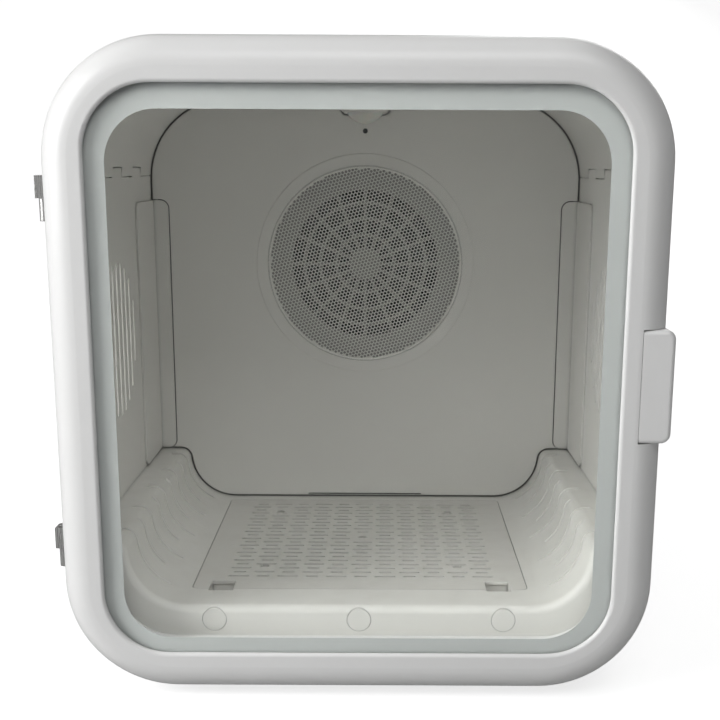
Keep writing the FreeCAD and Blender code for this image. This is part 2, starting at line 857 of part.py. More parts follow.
def plug_centres():
    """Places of the sill plugs."""
    return [(number * plug_pitch, base + plug_height) for number in (-1, 0, 1)]


def notch_block(side, grow, y0, y1, z0, z1):
    """Finger notch beside one front corner of the grille."""
    middle = side * notch_offset
    reach = notch_width / 2 + grow
    return box(middle - reach, middle + reach, y0, y1, z0, z1)


def round_front(solid, y, radius):
    """Fillets the upper front edges of a solid under the tub's surface."""
    upper = [e for e in edges_at(solid, y) if e.BoundBox.ZMin > floor_z - 2 * liner_wall]
    sides = [e for e in upper if abs(e.tangentAt(e.FirstParameter).z) < 0.99]
    return solid.makeFillet(radius, sides)


def floor_tub():
    """Floor liner: coves, sill, ribs and the pan under the grille."""
    edge = cavity_half + liner_wall
    low = base + tub_bottom
    sill_back = liner_front + liner_wall
    skin = round_front(tub_block(0, edge, low, liner_front, liner_rear), liner_front, sill_round)
    inside = tub_block(liner_wall, edge + 1, low - 1, sill_back, liner_rear + 1)
    skin = skin.cut(round_front(inside, sill_back, sill_round - liner_wall))
    sill = cavity_plate(liner_wall, liner_front, sill_back, base + bezel_sill)
    beyond = skin.common(box(-half, half, sill_back, rear, base, top))
    skin = fuse_all([beyond, skin.common(sill)])
    rim = grille_gap + pan_wall
    w = grille_width / 2 + rim
    y0 = grille_y - rim - notch_lead / 2
    block = box(-w, w, y0, grille_y + grille_length + rim, low, floor_z - liner_wall / 2)
    under = tub_block(liner_wall / 2, edge, low, liner_front, liner_rear)
    block = block.common(under)
    tub = fuse_all([skin, block] + tub_ribs())
    seat_z = floor_z - grille_thickness
    w = grille_width / 2 - pan_rim
    y0 = grille_y + pan_front
    y1 = grille_y + grille_length - pan_rim
    pan = flat_rounded(-w, w, y0, y1, pan_corner, base + pan_floor, floor_z)
    tools = [grille_outline(grille_gap, seat_z, floor_z + 2), pan]
    for side in (-1, 1):
        y0 = grille_y - notch_lead
        tools.append(notch_block(side, 0, y0, grille_y + notch_depth, seat_z - notch_drop, floor_z + 2))
    tools += [disc(x, z, plug_radius, liner_front - 1, sill_back) for x, z in plug_centres()]
    return cut_all(tub, tools)


def sill_plugs():
    """Three flush caps in the sill."""
    plugs = []
    for x, z in plug_centres():
        inside = liner_front + liner_wall
        beyond, thick = plug_flange
        face = disc(x, z, plug_radius - plug_gap, liner_front, inside)
        flange = disc(x, z, plug_radius + beyond, inside, inside + thick)
        under_skin = floor_z - sill_round - fit_gap
        flange = flange.common(box(-half, half, inside, inside + thick, base, under_skin))
        plugs.append(face.fuse(flange))
    return Part.makeCompound(plugs)


def slot_tool(x, y, length):
    """One slot of the floor grille, with round ends."""
    z0 = floor_z - grille_thickness - 1
    z1 = floor_z + 1
    reach = (length - slot_width) / 2
    middle = box(x - reach, x + reach, y - slot_width / 2, y + slot_width / 2, z0, z1)
    ends = [upright(x + side * reach, y, slot_width / 2, z0, z1) for side in (-1, 1)]
    return middle.multiFuse(ends)


def floor_grille():
    """Lift-out floor with staggered slots."""
    z0 = floor_z - grille_thickness
    panel = grille_outline(0, z0, floor_z)
    first_row = grille_y + slot_margins[0]
    middle_row = first_row + slot_row_pitch * (slot_rows - 1) / 2
    dimples = [(0.0, middle_row)]
    across, along = dimple_spread
    dimples += [(sx * across, middle_row + sy * along) for sx in (-1, 1) for sy in (-1, 1)]
    tools = []
    for row in range(slot_rows):
        y = first_row + slot_row_pitch * row
        for column in range(slot_columns):
            x = (column - (slot_columns - 1) / 2) * slot_column_pitch
            across, along = dimple_clear
            near = [1 for dx, dy in dimples if abs(dx - x) < across and abs(dy - y) < along]
            if not near:
                length = long_slot if (row + column) % 2 == 0 else short_slot
                tools.append(slot_tool(x, y, length))
    for x, y in dimples:
        tools.append(upright(x, y, dimple_radius, floor_z - dimple_depth, floor_z + 1))
    for side in (-1, 1):
        y1 = grille_y + notch_depth - notch_step
        tools.append(notch_block(side, 0, grille_y - 1, y1, z0 - 1, floor_z + 1))
    return cut_all(panel, tools)


def hair_tray():
    """Shallow tray clipped under the floor grille."""
    w = grille_width / 2 - pan_rim - tray_gap
    y0 = grille_y + pan_front + tray_gap
    y1 = grille_y + grille_length - pan_rim - tray_gap
    z1 = floor_z - grille_thickness
    z0 = z1 - tray_tall
    outer = flat_rounded(-w, w, y0, y1, tray_corner, z0, z1)
    t = tray_wall
    inner = flat_rounded(-w + t, w - t, y0 + t, y1 - t, tray_corner - t, z0 + t, z1 + 1)
    return outer.cut(inner)


def cover_leg(grow, y0, y1):
    """Right cover's outline on the back wall, grown for its place there."""
    x1 = cavity_half
    z0 = base + cover_low - grow
    z1 = cavity_top - cover_drop + grow
    leg = box(x1 - cover_width - grow, x1, y0, y1, z0, z1)
    return round_y_edges(leg, cover_round + grow, lambda middle: middle.x < x1 - cover_thickness)


def corner_cover():
    """Right cover strip, wrapped round the corner of side and back walls."""
    x1 = cavity_half
    y1 = back_wall + cover_thickness
    y0 = back_wall - cover_length
    side = box(x1 - cover_thickness, x1, y0, y1, base + cover_low, cavity_top - cover_drop)
    ends = edges_along(side, axis_x, lambda middle: middle.y < back_wall)
    side = side.makeFillet(cover_round, ends)
    return side.fuse(cover_leg(0, back_wall, y1)).removeSplitter()


def cavity_section(inset, y0, y1):
    """Slab with the cavity's outline above the tub, drawn in by an inset."""
    edge = cavity_half + liner_wall
    slab = cavity_plate(-inset, y0, y1)
    return slab.cut(tub_block(-inset, edge, base, y0 - 1, y1 + 1))


def back_panel():
    """Back wall: dished panel, its flange behind the liners, and the fan opening."""
    y1 = liner_rear + flange_depth
    half_width, z0, z1, corner = flange_outline()
    flange = plate(half_width, z0, z1, corner, liner_rear, y1, flange_low_corner)
    face = cavity_section(rear_gap, back_wall, liner_rear)
    pocket = cavity_section(rear_gap + liner_wall, panel_rear, y1 + 1)
    tools = [pocket, disc(0, fan_z, fan_opening, back_wall - 1, y1)]
    tools.append(lamp_block(lamp_play, back_wall - 1, liner_rear))
    for leg in (cover_leg(cover_gap, back_wall - 1, liner_rear), cover_leg(0, back_wall - 1, liner_rear)):
        tools += [leg, mirrored(leg)]
    inner, outer = moulding_ring
    moulding = ring(0, fan_z, inner, outer, back_wall - moulding_height, back_wall)
    lip = [e for e in edges_at(moulding, back_wall - moulding_height) if e.Length > 6 * outer]
    moulding = moulding.makeChamfer(moulding_height * 0.9, lip)
    panel = cut_all(fuse_all([face, flange]), tools).fuse(moulding).removeSplitter()
    long, low, high = slit_size
    z0 = floor_z + rear_gap
    tools = [box(-long / 2, long / 2, back_wall - 1, y1 + 1, z0 + low, z0 + high)]
    tools.append(disc(0, cavity_top - probe_drop, probe_radius, back_wall - 1, panel_rear + 1))
    return cut_all(panel, tools)


def flange_outline():
    """Half width, lower and upper edge, and corner of the back wall's flange."""
    grow = liner_wall
    return cavity_half + grow, floor_z - flange_drop, cavity_top + grow, cavity_corner + grow


def temperature_probe():
    """Small probe tip set into the back wall."""
    z = cavity_top - probe_drop
    radius, tall = probe_collar
    tip = disc(0, z, probe_radius - probe_play, back_wall + probe_sink, panel_rear)
    collar = disc(0, z, radius, panel_rear, panel_rear + tall)
    return tip.fuse(collar)


def lamp_block(grow, y0, y1):
    """Outline of the lamp housing, grown for its place in the back wall."""
    across = lamp_width / 2 + grow
    body = box(-across, across, y0, y1, cavity_top - lamp_drop - grow, cavity_top)
    return round_y_edges(body, lamp_round + grow, lambda middle: middle.z < cavity_top - 1)


def lamp_bracket():
    """Lamp housing under the ceiling, let into the back wall."""
    return lamp_block(0, back_wall - lamp_depth, back_wall + lamp_recess)


def lamp_dome():
    """Translucent cap of the lamp, part of a sphere."""
    y = back_wall - lamp_depth / 2
    z = cavity_top - lamp_drop
    radius = (dome_radius**2 + dome_drop**2) / (2 * dome_drop)
    ball = Part.makeSphere(radius, Vector(0, y, z - dome_drop + radius))
    span = 2 * radius
    return ball.common(box(-span, span, y - span, y + span, z - span, z))


# -------------------------------------------------------------- fan and heater
def fan_mesh():
    """Perforated disc in front of the fan."""
    y0 = back_wall - mesh_thickness
    sheet = disc(0, fan_z, mesh_radius, y0, back_wall)
    limit = mesh_radius - mesh_border - mesh_hole_radius
    rows = int(limit / (mesh_pitch * math.sqrt(0.75)))
    columns = int(limit / mesh_pitch) + 1
    tools = []
    for row in range(-rows, rows + 1):
        z = row * mesh_pitch * math.sqrt(0.75)
        for column in range(-columns, columns + 1):
            x = (column + (row % 2) / 2) * mesh_pitch
            if math.hypot(x, z) < limit:
                tools.append(disc(x, fan_z + z, mesh_hole_radius, y0 - 1, back_wall + 1))
    return cut_all(sheet, tools)


def guard_spoke(y0, y1, start, end, angle):
    """One straight rib of the guard."""
    rib = box(start, end, y0, y1, fan_z - guard_rib / 2, fan_z + guard_rib / 2)
    rib.rotate(Vector(0, y0, fan_z), axis_y, angle)
    return rib


def fan_guard():
    """Finger guard: hub, rings and spokes inside a solid rim."""
    y0 = panel_rear + guard_offset
    y1 = y0 + guard_thickness
    pieces = [disc(0, fan_z, guard_hub, y0, y1), ring(0, fan_z, guard_solid, guard_rim[1], y0, y1)]
    pieces.append(ring(0, fan_z, guard_rim[0], guard_rim[1], panel_rear, y1))
    for radius in guard_rings:
        pieces.append(ring(0, fan_z, radius - guard_rib / 2, radius + guard_rib / 2, y0, y1))
    for number in range(guard_spokes):
        angle = 360.0 * number / guard_spokes
        pieces.append(guard_spoke(y0, y1, guard_hub - 2, guard_solid + 2, angle))
    return fuse_all(pieces)


def shroud_screw_centres():
    """Places of the shroud's screws on its flange."""
    radius = (shroud_radius + shroud_wall + shroud_flange) / 2
    turns = [math.radians(45 + 360 * n / shroud_screw_count) for n in range(shroud_screw_count)]
    return [(radius * math.cos(t), fan_z + radius * math.sin(t)) for t in turns]


def fan_shroud():
    """Round air duct from the back wall over the fan."""
    y1 = panel_rear + shroud_length
    tube = ring(0, fan_z, shroud_radius, shroud_radius + shroud_wall, panel_rear, y1)
    flange_rear = panel_rear + shroud_flange_thickness
    flange = ring(0, fan_z, shroud_radius, shroud_flange, panel_rear, flange_rear)
    holes = [disc(x, z, screw_radius + screw_play, panel_rear - 1, y1) for x, z in shroud_screw_centres()]
    return cut_all(tube.fuse(flange).removeSplitter(), holes)


def shroud_screws():
    """Screws of the shroud's flange."""
    screws = []
    for x, z in shroud_screw_centres():
        radius, tall = shroud_screw_head
        seat = panel_rear + shroud_flange_thickness
        head = disc(x, z, radius, seat, seat + tall)
        screws.append(head.fuse(disc(x, z, screw_radius, panel_rear + screw_play, seat)))
    return Part.makeCompound(screws)


def heater_frame():
    """Square frame that carries the heater in the duct."""
    y0 = panel_rear + heater_start
    y1 = y0 + heater_depth
    s = heater_size / 2
    frame = block_about(0, fan_height, heater_size, heater_size, 0, y0, y1)
    frame = frame.cut(block_about(0, fan_height, heater_size, heater_size, -heater_bar, y0 - 1, y1 + 1))
    tall, thick = heater_arm
    arms = []
    for side in (-1, 1):
        start, end = sorted((side * s, side * (shroud_radius - heater_arm_gap)))
        arms.append(box(start, end, y0, y0 + thick, fan_z - tall / 2, fan_z + tall / 2))
    return fuse_all([frame] + arms)


def heater_element():
    """Heating rows with their fins."""
    y0 = panel_rear + heater_start + 1
    y1 = y0 + heater_depth - 2
    inside = heater_size / 2 - heater_bar
    rows = []
    for number in range(ptc_rows):
        z = fan_height + (number - (ptc_rows - 1) / 2) * (2 * inside / ptc_rows)
        rows.append(block_about(0, z, 2 * inside, ptc_height, 0, y0 + 2, y1 - 2))
    count = int(2 * (inside - 2) / fin_pitch)
    for number in range(count + 1):
        x = (number - count / 2) * fin_pitch
        rows.append(block_about(x, fan_height, fin_thickness, 2 * inside - 2, 0, y0, y1))
    return fuse_all(rows)


def fan_impeller():
    """Hub with tilted blades."""
    y0 = panel_rear + impeller_start
    y1 = y0 + impeller_depth
    hub = disc(0, fan_z, impeller_hub, y0, y1)
    hub = hub.makeFillet(hub_round, [e for e in edges_at(hub, y0) if e.Length > impeller_hub])
    pieces = [hub]
    middle = (y0 + y1) / 2
    tips = disc(0, fan_z, impeller_tip, y0, y1)
    for number in range(blade_count):
        blade = box(
            impeller_hub - 3,
            impeller_tip + 2,
            middle - blade_thickness / 2,
            middle + blade_thickness / 2,
            fan_z - blade_chord / 2,
            fan_z + blade_chord / 2,
        )
        blade.rotate(Vector(0, middle, fan_z), axis_x, blade_tilt)
        blade.rotate(Vector(0, middle, fan_z), axis_y, 360.0 * number / blade_count)
        pieces.append(blade.common(tips))
    return fuse_all(pieces).cut(disc(0, fan_z, shaft_radius + shaft_play, y0 + hub_face, y1 + 1))


def motor_front():
    """Face of the motor on its mount."""
    return panel_rear + mount_start + mount_depth


def motor_shaft():
    """Shaft between motor and impeller."""
    y0 = panel_rear + impeller_start + hub_face + screw_play
    return disc(0, fan_z, shaft_radius, y0, motor_front() + shaft_end)


def motor_mount():
    """Spider across the shroud that carries the motor."""
    y0 = panel_rear + mount_start
    y1 = y0 + mount_depth
    hub = disc(0, fan_z, motor_radius, y0, y1)
    arms = []
    for number in range(mount_arms):
        w = mount_arm_width / 2
        arm = box(0, shroud_radius - arm_gap, y0, y1, fan_z - w, fan_z + w)
        arm.rotate(Vector(0, y0, fan_z), axis_y, 90 + 360.0 * number / mount_arms)
        arms.append(arm)
    return fuse_all([hub] + arms).cut(disc(0, fan_z, motor_boss_hole, y0 - 1, y1 + 1))


def fan_motor():
    """Motor can with a stepped rear end."""
    y0 = motor_front()
    step = y0 + motor_length - motor_end
    can = disc(0, fan_z, motor_radius - 1, y0, step)
    can = can.fuse(disc(0, fan_z, motor_radius / 2, step, y0 + motor_length))
    radius, tall = motor_boss
    boss = disc(0, fan_z, radius, y0 - tall, y0)
    bore = disc(0, fan_z, shaft_radius + shaft_play, y0 - tall - 1, y0 + motor_bore)
    return fuse_all([can, boss]).cut(bore)


# ---------------------------------------------------------- controls and wiring
def panel_block(grow, z0, z1):
    """Outline of the control panel on the top, grown for its opening."""
    w = panel_size[0] / 2 + grow
    y0 = case_front + panel_front - grow
    y1 = case_front + panel_front + panel_size[1] + grow
    return flat_rounded(-w, w, y0, y1, panel_corner + grow, z0, z1)


def control_panel():
    """Touch panel, let into the top."""
    face = panel_block(0, top - shell_wall, top - panel_drop)
    across, along, deep = panel_rib
    x = panel_size[0] / 2 - across
    y0 = case_front + panel_front + along
    y1 = y0 + panel_size[1] - 2 * along
    rib = box(-x, x, y0, y1, top - shell_wall - deep, top - shell_wall)
    return face.fuse(rib).removeSplitter()


def control_board():
    """Circuit board under the control panel, with its tallest parts."""
    z1 = top - shell_wall - board_drop
    z0 = z1 - board_thickness
    across, along = control_size
    y0 = case_front + panel_front + (panel_size[1] - along) / 2
    board = box(-across / 2, across / 2, y0, y0 + along, z0, z1)
    parts = [box(x0, x1, y0 + start, y0 + end, z1, z1 + tall) for x0, x1, start, end, tall in control_parts]
    return fuse_all([board] + parts)


def power_board():
    """Supply board on the floor of the machine space."""
    x0, behind, above = supply_place
    across, along = supply_size
    y0 = back_wall + behind
    z0 = base + shell_wall + above
    z1 = z0 + board_thickness
    parts = [box(x0, x0 + across, y0, y0 + along, z0, z1)]
    for left, right, start, end, tall in supply_parts:
        parts.append(box(x0 + left, x0 + right, y0 + start, y0 + end, z1, z1 + tall))
    radius, tall = can_size
    for right, back in supply_cans:
        parts.append(upright(x0 + right, y0 + back, radius, z1, z1 + tall))
    for x in (x0 + post_inset, x0 + across - post_inset):
        for y in (y0 + post_inset, y0 + along - post_inset):
            parts.append(upright(x, y, post_radius, base + shell_wall, z0))
    return fuse_all(parts)


def feet():
    """Four rubber feet."""
    pads = []
    across, along = foot_inset
    for x in (-across, across):
        for y in (case_front + along * 0.5, cover_front - along * 0.5):
            pads.append(Part.makeCone(foot_tip_radius, foot_radius, base, Vector(x, y, 0), axis_z))
    return Part.makeCompound(pads)


# -------------------------------------------------------------------- the door
def handle_block(grow, y0, y1):
    """Outline of the pull tab, grown for its seat in the door frame."""
    z0 = base + handle_low - grow
    z1 = z0 + handle_tall + 2 * grow
    x0 = half - handle_inner - grow
    x1 = half + handle_proud + grow
    solid = box(x0, x1, y0, y1, z0, z1)
    return round_y_edges(solid, handle_round, lambda middle: middle.x > half)


def door_handle():
    """Pull tab on the door's free edge, with a finger hollow behind."""
    y0 = front + handle_set_back
    tab = handle_block(0, y0, door_back - handle_root)
    rim = [e for e in edges_at(tab, y0) if e.CenterOfMass.x > half - handle_inner + 0.5]
    tab = tab.makeFillet(handle_front_round, rim)
    x0 = half - hollow_depth
    x1 = half + handle_proud + 1
    z0 = base + handle_low + hollow_margin
    z1 = base + handle_low + handle_tall - hollow_margin
    hollow = box(x0, x1, front + hollow_front, door_back, z0, z1)
    return tab.cut(hollow.makeFillet(hollow_round, edges_along(hollow, axis_x)))


def door_frame():
    """Front moulding of the door: land, roll and skirt."""
    outer = inset_plate(0, front, door_back)
    outer = outer.makeFillet(roll_radius, edges_at(outer, front))
    frame = outer.cut(window_plate(0, front - 1, door_back + 1))
    lip = [
        e
        for e in edges_at(frame, front)
        if e.BoundBox.XMin > -window_half - 0.1
        and e.BoundBox.XMax < window_half + 0.1
        and e.BoundBox.ZMin > window_low - 0.1
        and e.BoundBox.ZMax < window_high + 0.1
    ]
    frame = frame.makeFillet(window_edge_round, lip)
    pocket = front + door_pocket
    tools = [window_plate(glass_overlap, front + glass_inset, door_back + 1)]
    tools.append(inset_plate(door_skirt, pocket, door_back + 1))
    channel = window_plate(glass_overlap + channel_reach, front + door_pocket / 2, pocket + 1)
    tools.append(channel.cut(window_plate(glass_overlap + channel_wall, front, door_back)))
    frame = cut_all(frame, tools)
    frame = frame.cut(handle_block(handle_gap, front - 1, door_back + 1))
    return frame.cut(door_leaf_slots())


def door_leaf_slots():
    """Passages for the hinge leaves through the door's skirt."""
    slots = []
    for z_middle in hinge_heights.values():
        z0 = base + z_middle + knuckle_gap / 2 - slot_play
        z1 = z0 + knuckle_tall + 2 * slot_play
        y0 = door_back - leaf_thickness - slot_play / 2
        slots.append(box(-half - 1, -half + leaf_length, y0, door_back + 1, z0, z1))
    return Part.makeCompound(slots)


def door_glass():
    """Toughened window pane."""
    y0 = front + glass_inset
    return window_plate(glass_overlap - 0.5, y0, y0 + glass_thickness)


def glass_gasket():
    """Rubber strip between the pane and the inner frame."""
    y0 = front + glass_inset + glass_thickness
    outer = window_plate(glass_overlap - 1.0, y0, y0 + gasket_thickness)
    inner = window_plate(glass_overlap - 1.0 - gasket_width, y0 - 1, y0 + gasket_thickness + 1)
    return outer.cut(inner)


def plate_blocks(grow):
    """Two strike plates in the inner frame, facing the magnets."""
    x_mid = cavity_half + (wall_space - shell_wall) / 2 - plate_shift
    sx, sy, sz = plate_size
    blocks = []
    for side in (-1, 1):
        z_mid = handle_mid + side * magnet_spread
        blocks.append(
            box(
                x_mid - sx / 2 - grow,
                x_mid + sx / 2 + grow,
                door_back - sy - grow,
                door_back,
                z_mid - sz / 2 - grow,
                z_mid + sz / 2 + grow,
            )
        )
    return blocks


def door_screw_places(z_middle):
    """Places of a door leaf's two screws."""
    z = z_middle + knuckle_gap / 2 + knuckle_tall / 2
    return [(-half + reach, z) for reach in door_screw_reach]


def door_inner_frame():
    """Rear moulding of the door, which clamps the pane."""
    inset = door_skirt + fit_gap
    body = inset_plate(inset, front + door_pocket + 0.2, door_back)
    y0 = front + glass_inset + glass_thickness + gasket_thickness
    nose = window_plate(glass_overlap - 0.6, y0, front + door_pocket + 0.2)
    frame = body.fuse(nose).removeSplitter()
    frame = frame.cut(window_plate(-inner_border, front, door_back + 1))
    tools = plate_blocks(plate_play)
    for z_middle in hinge_heights.values():
        for x, z in door_screw_places(base + z_middle):
            tools.append(disc(x, z, screw_radius + screw_play, front + door_pocket + 1, door_back + 1))
    frame = cut_all(frame, tools)
    frame = frame.cut(door_leaf_slots())
    return frame.cut(handle_block(handle_gap, front - 1, door_back + 1))


def strike_plates():
    """Steel plates that the magnets hold."""
    return Part.makeCompound(plate_blocks(0.0))


# ---------------------------------------------------------------------- hinges
def case_leaf(z_middle):
    """Lower knuckle with its leaf on the case's side."""
    z1 = z_middle - knuckle_gap / 2
    z0 = z1 - knuckle_tall
    knuckle = upright(hinge_x, hinge_y, knuckle_radius, z0, z1)
    leaf = box(-half - leaf_thickness, -half, hinge_y + 1, hinge_y + leaf_length, z0, z1)
    web = box(hinge_x, -half - leaf_thickness / 2, hinge_y + 2, hinge_y + knuckle_radius, z0, z1)
    shape = fuse_all([knuckle, leaf, web])
    shape = shape.common(box(-half - 30, -half, front, rear, z0, z1))
    shape = shape.cut(upright(hinge_x, hinge_y, pin_radius + pin_play, z0 + knuckle_floor, z1 + 1))
    y = case_leaf_screw_y()
    radius = screw_radius + screw_play
    x0 = hinge_x - knuckle_radius
    holes = [vent_hole(y, z, radius, x0, -half + 1) for z in hinge_screw_places(z_middle)]
    return cut_all(shape, holes)


def door_leaf(z_middle):
    """Upper knuckle with its arm and leaf on the door's back."""
    z0 = z_middle + knuckle_gap / 2
    z1 = z0 + knuckle_tall
    knuckle = upright(hinge_x, hinge_y, knuckle_radius, z0, z1)
    y0 = door_back - leaf_thickness
    arm = box(hinge_x - knuckle_radius, hinge_x - knuckle_radius + leaf_thickness, y0, hinge_y, z0, z1)
    leaf = box(hinge_x - knuckle_radius, -half + leaf_length - 1, y0, door_back, z0, z1)
    shape = fuse_all([knuckle, arm, leaf])
    shape = shape.cut(upright(hinge_x, hinge_y, pin_radius + pin_play, z0 - 1, z1 - knuckle_floor))
    holes = []
    for x, z in door_screw_places(z_middle):
        holes.append(disc(x, z, screw_radius + screw_play, y0 - 1, door_back + 1))
        holes.append(disc(x, z, leaf_screw_head + 0.1, door_back - leaf_screw_sink, door_back + 1))
    return cut_all(shape, holes)


def hinge_pin(z_middle):
    """Lift-off pin inside both knuckles."""
    reach = knuckle_tall - pin_short
    return upright(hinge_x, hinge_y, pin_radius, z_middle - reach, z_middle + reach)


def case_hinge_screws():
    """Screws of the case leaves."""
    screws = []
    y = case_leaf_screw_y()
    x_head = -half - leaf_thickness
    for z_middle in hinge_heights.values():
        for z in hinge_screw_places(base + z_middle):
            radius, tall = case_screw_head
            head = vent_hole(y, z, radius, x_head - tall, x_head)
            shank = vent_hole(y, z, screw_radius, x_head, -half + wall_space - liner_wall - 2)
            screws.append(head.fuse(shank))
    return Part.makeCompound(screws)


def door_hinge_screws():
    """Screws of the door leaves."""
    screws = []
    for z_middle in hinge_heights.values():
        for x, z in door_screw_places(base + z_middle):
            seat = door_back - leaf_screw_sink
            head = disc(x, z, leaf_screw_head, seat, door_back)
            shank = disc(x, z, screw_radius, front + door_pocket + 2, seat)
            screws.append(head.fuse(shank))
    return Part.makeCompound(screws)


# ---------------------------------------------------------------------- export
def pieces():
    """Every piece of the cabinet by name."""
    made = {
        "upper_shell": upper_shell(),
        "lower_shell": lower_shell(),
        "front_bezel": front_bezel(),
        "rear_frame": rear_frame(),
        "rear_cover": rear_cover(),
        "rear_screws": rear_screws(),
        "right_side_vent": side_vent(),
        "right_vent_duct": vent_duct(),
        "right_wall_liner": wall_liner(),
        "right_corner_cover": corner_cover(),
        "ceiling_liner": ceiling_liner(),
        "floor_tub": floor_tub(),
        "back_panel": back_panel(),
        "sill_plugs": sill_plugs(),
        "lamp_bracket": lamp_bracket(),
        "lamp_dome": lamp_dome(),
        "temperature_probe": temperature_probe(),
        "fan_mesh": fan_mesh(),
        "fan_guard": fan_guard(),
        "fan_shroud": fan_shroud(),
        "shroud_screws": shroud_screws(),
        "heater_frame": heater_frame(),
        "heater_element": heater_element(),
        "motor_mount": motor_mount(),
        "fan_motor": fan_motor(),
        "motor_shaft": motor_shaft(),
        "fan_impeller": fan_impeller(),
        "control_panel": control_panel(),
        "control_board": control_board(),
        "power_board": power_board(),
        "power_inlet": power_inlet(),
        "inlet_pins": inlet_pins(),
        "rocker_frame": rocker_frame(),
        "power_rocker": power_rocker(),
        "floor_grille": floor_grille(),
        "hair_tray": hair_tray(),
        "filter_cover": filter_cover(),
        "filter_pad": filter_pad(),
        "feet": feet(),
        "door_frame": door_frame(),
        "door_glass": door_glass(),
        "glass_gasket": glass_gasket(),
        "door_inner_frame": door_inner_frame(),
        "door_handle": door_handle(),
        "strike_plates": strike_plates(),
        "latch_magnets": latch_magnets(),
        "door_seal": door_seal(),
        "case_hinge_screws": case_hinge_screws(),
        "door_hinge_screws": door_hinge_screws(),
    }
    for name in ("side_vent", "vent_duct", "wall_liner", "corner_cover"):
        made["left_" + name] = mirrored(made["right_" + name])
    for place, z_middle in hinge_heights.items():
        made[place + "_case_leaf"] = case_leaf(base + z_middle)
        made[place + "_door_leaf"] = door_leaf(base + z_middle)
        made[place + "_hinge_pin"] = hinge_pin(base + z_middle)
    return made


os.makedirs("parts", exist_ok=True)
for node, shape in pieces().items():
    shape.exportStep("parts/" + node + ".step")
    print(node, len(shape.Solids), round(shape.Volume / 1000, 1), shape.isValid())
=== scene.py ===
"""Looks of a pet drying cabinet: finishes, fine pieces, soft light and the camera."""

import json
import logging
import math
from dataclasses import dataclass, field
from enum import Enum

import bmesh
import bpy
from mathutils import Matrix, Vector
from mathutils.geometry import delaunay_2d_cdt


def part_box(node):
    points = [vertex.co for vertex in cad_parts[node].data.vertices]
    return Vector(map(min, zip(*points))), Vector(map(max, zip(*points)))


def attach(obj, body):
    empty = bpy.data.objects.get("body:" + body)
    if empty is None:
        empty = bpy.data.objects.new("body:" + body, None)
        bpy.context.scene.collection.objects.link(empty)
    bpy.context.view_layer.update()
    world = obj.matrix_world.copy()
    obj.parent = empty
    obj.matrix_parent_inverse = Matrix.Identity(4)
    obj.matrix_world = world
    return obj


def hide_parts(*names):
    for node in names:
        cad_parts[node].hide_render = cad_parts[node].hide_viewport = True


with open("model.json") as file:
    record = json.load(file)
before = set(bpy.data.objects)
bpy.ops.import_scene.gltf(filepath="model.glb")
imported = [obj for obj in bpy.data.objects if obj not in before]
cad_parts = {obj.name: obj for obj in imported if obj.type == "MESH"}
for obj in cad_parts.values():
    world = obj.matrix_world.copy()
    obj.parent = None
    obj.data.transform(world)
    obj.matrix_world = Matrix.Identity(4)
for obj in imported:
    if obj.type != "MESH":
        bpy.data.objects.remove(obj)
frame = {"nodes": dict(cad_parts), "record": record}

MM: float = 0.001
log = logging.getLogger("drying_cabinet")

Colour = tuple[float, float, float]
Point = tuple[float, float, float]
Socket = bpy.types.NodeSocket
Tree = bpy.types.NodeTree


class Slot(Enum):
    """Material slots of the record."""

    CASE = "case_white"
    DOOR = "door_white"
    LINER = "liner_white"
    GRILLE = "grille_white"
    WINDOW = "window_glass"
    MESH = "mesh_metal"
    GUARD = "guard_plastic"
    HINGE = "hinge_steel"
    SCREW = "screw_steel"
    RUBBER = "dark_rubber"
    SEAL = "seal_rubber"
    PANEL = "panel_black"
    BOARD = "board_green"
    DUCT = "duct_plastic"
    FAN = "fan_plastic"
    HEATER = "heater_fins"
    MOTOR = "motor_metal"
    INLET = "inlet_black"
    PINS = "pin_brass"
    MAGNET = "magnet_steel"
    LAMP = "lamp_milk"
    FOAM = "filter_foam"


class Pattern(Enum):
    """Fine relief of a finish."""

    SATIN = "satin"
    TEXTURED = "textured"
    BRUSHED = "brushed"
    FOAM = "foam"


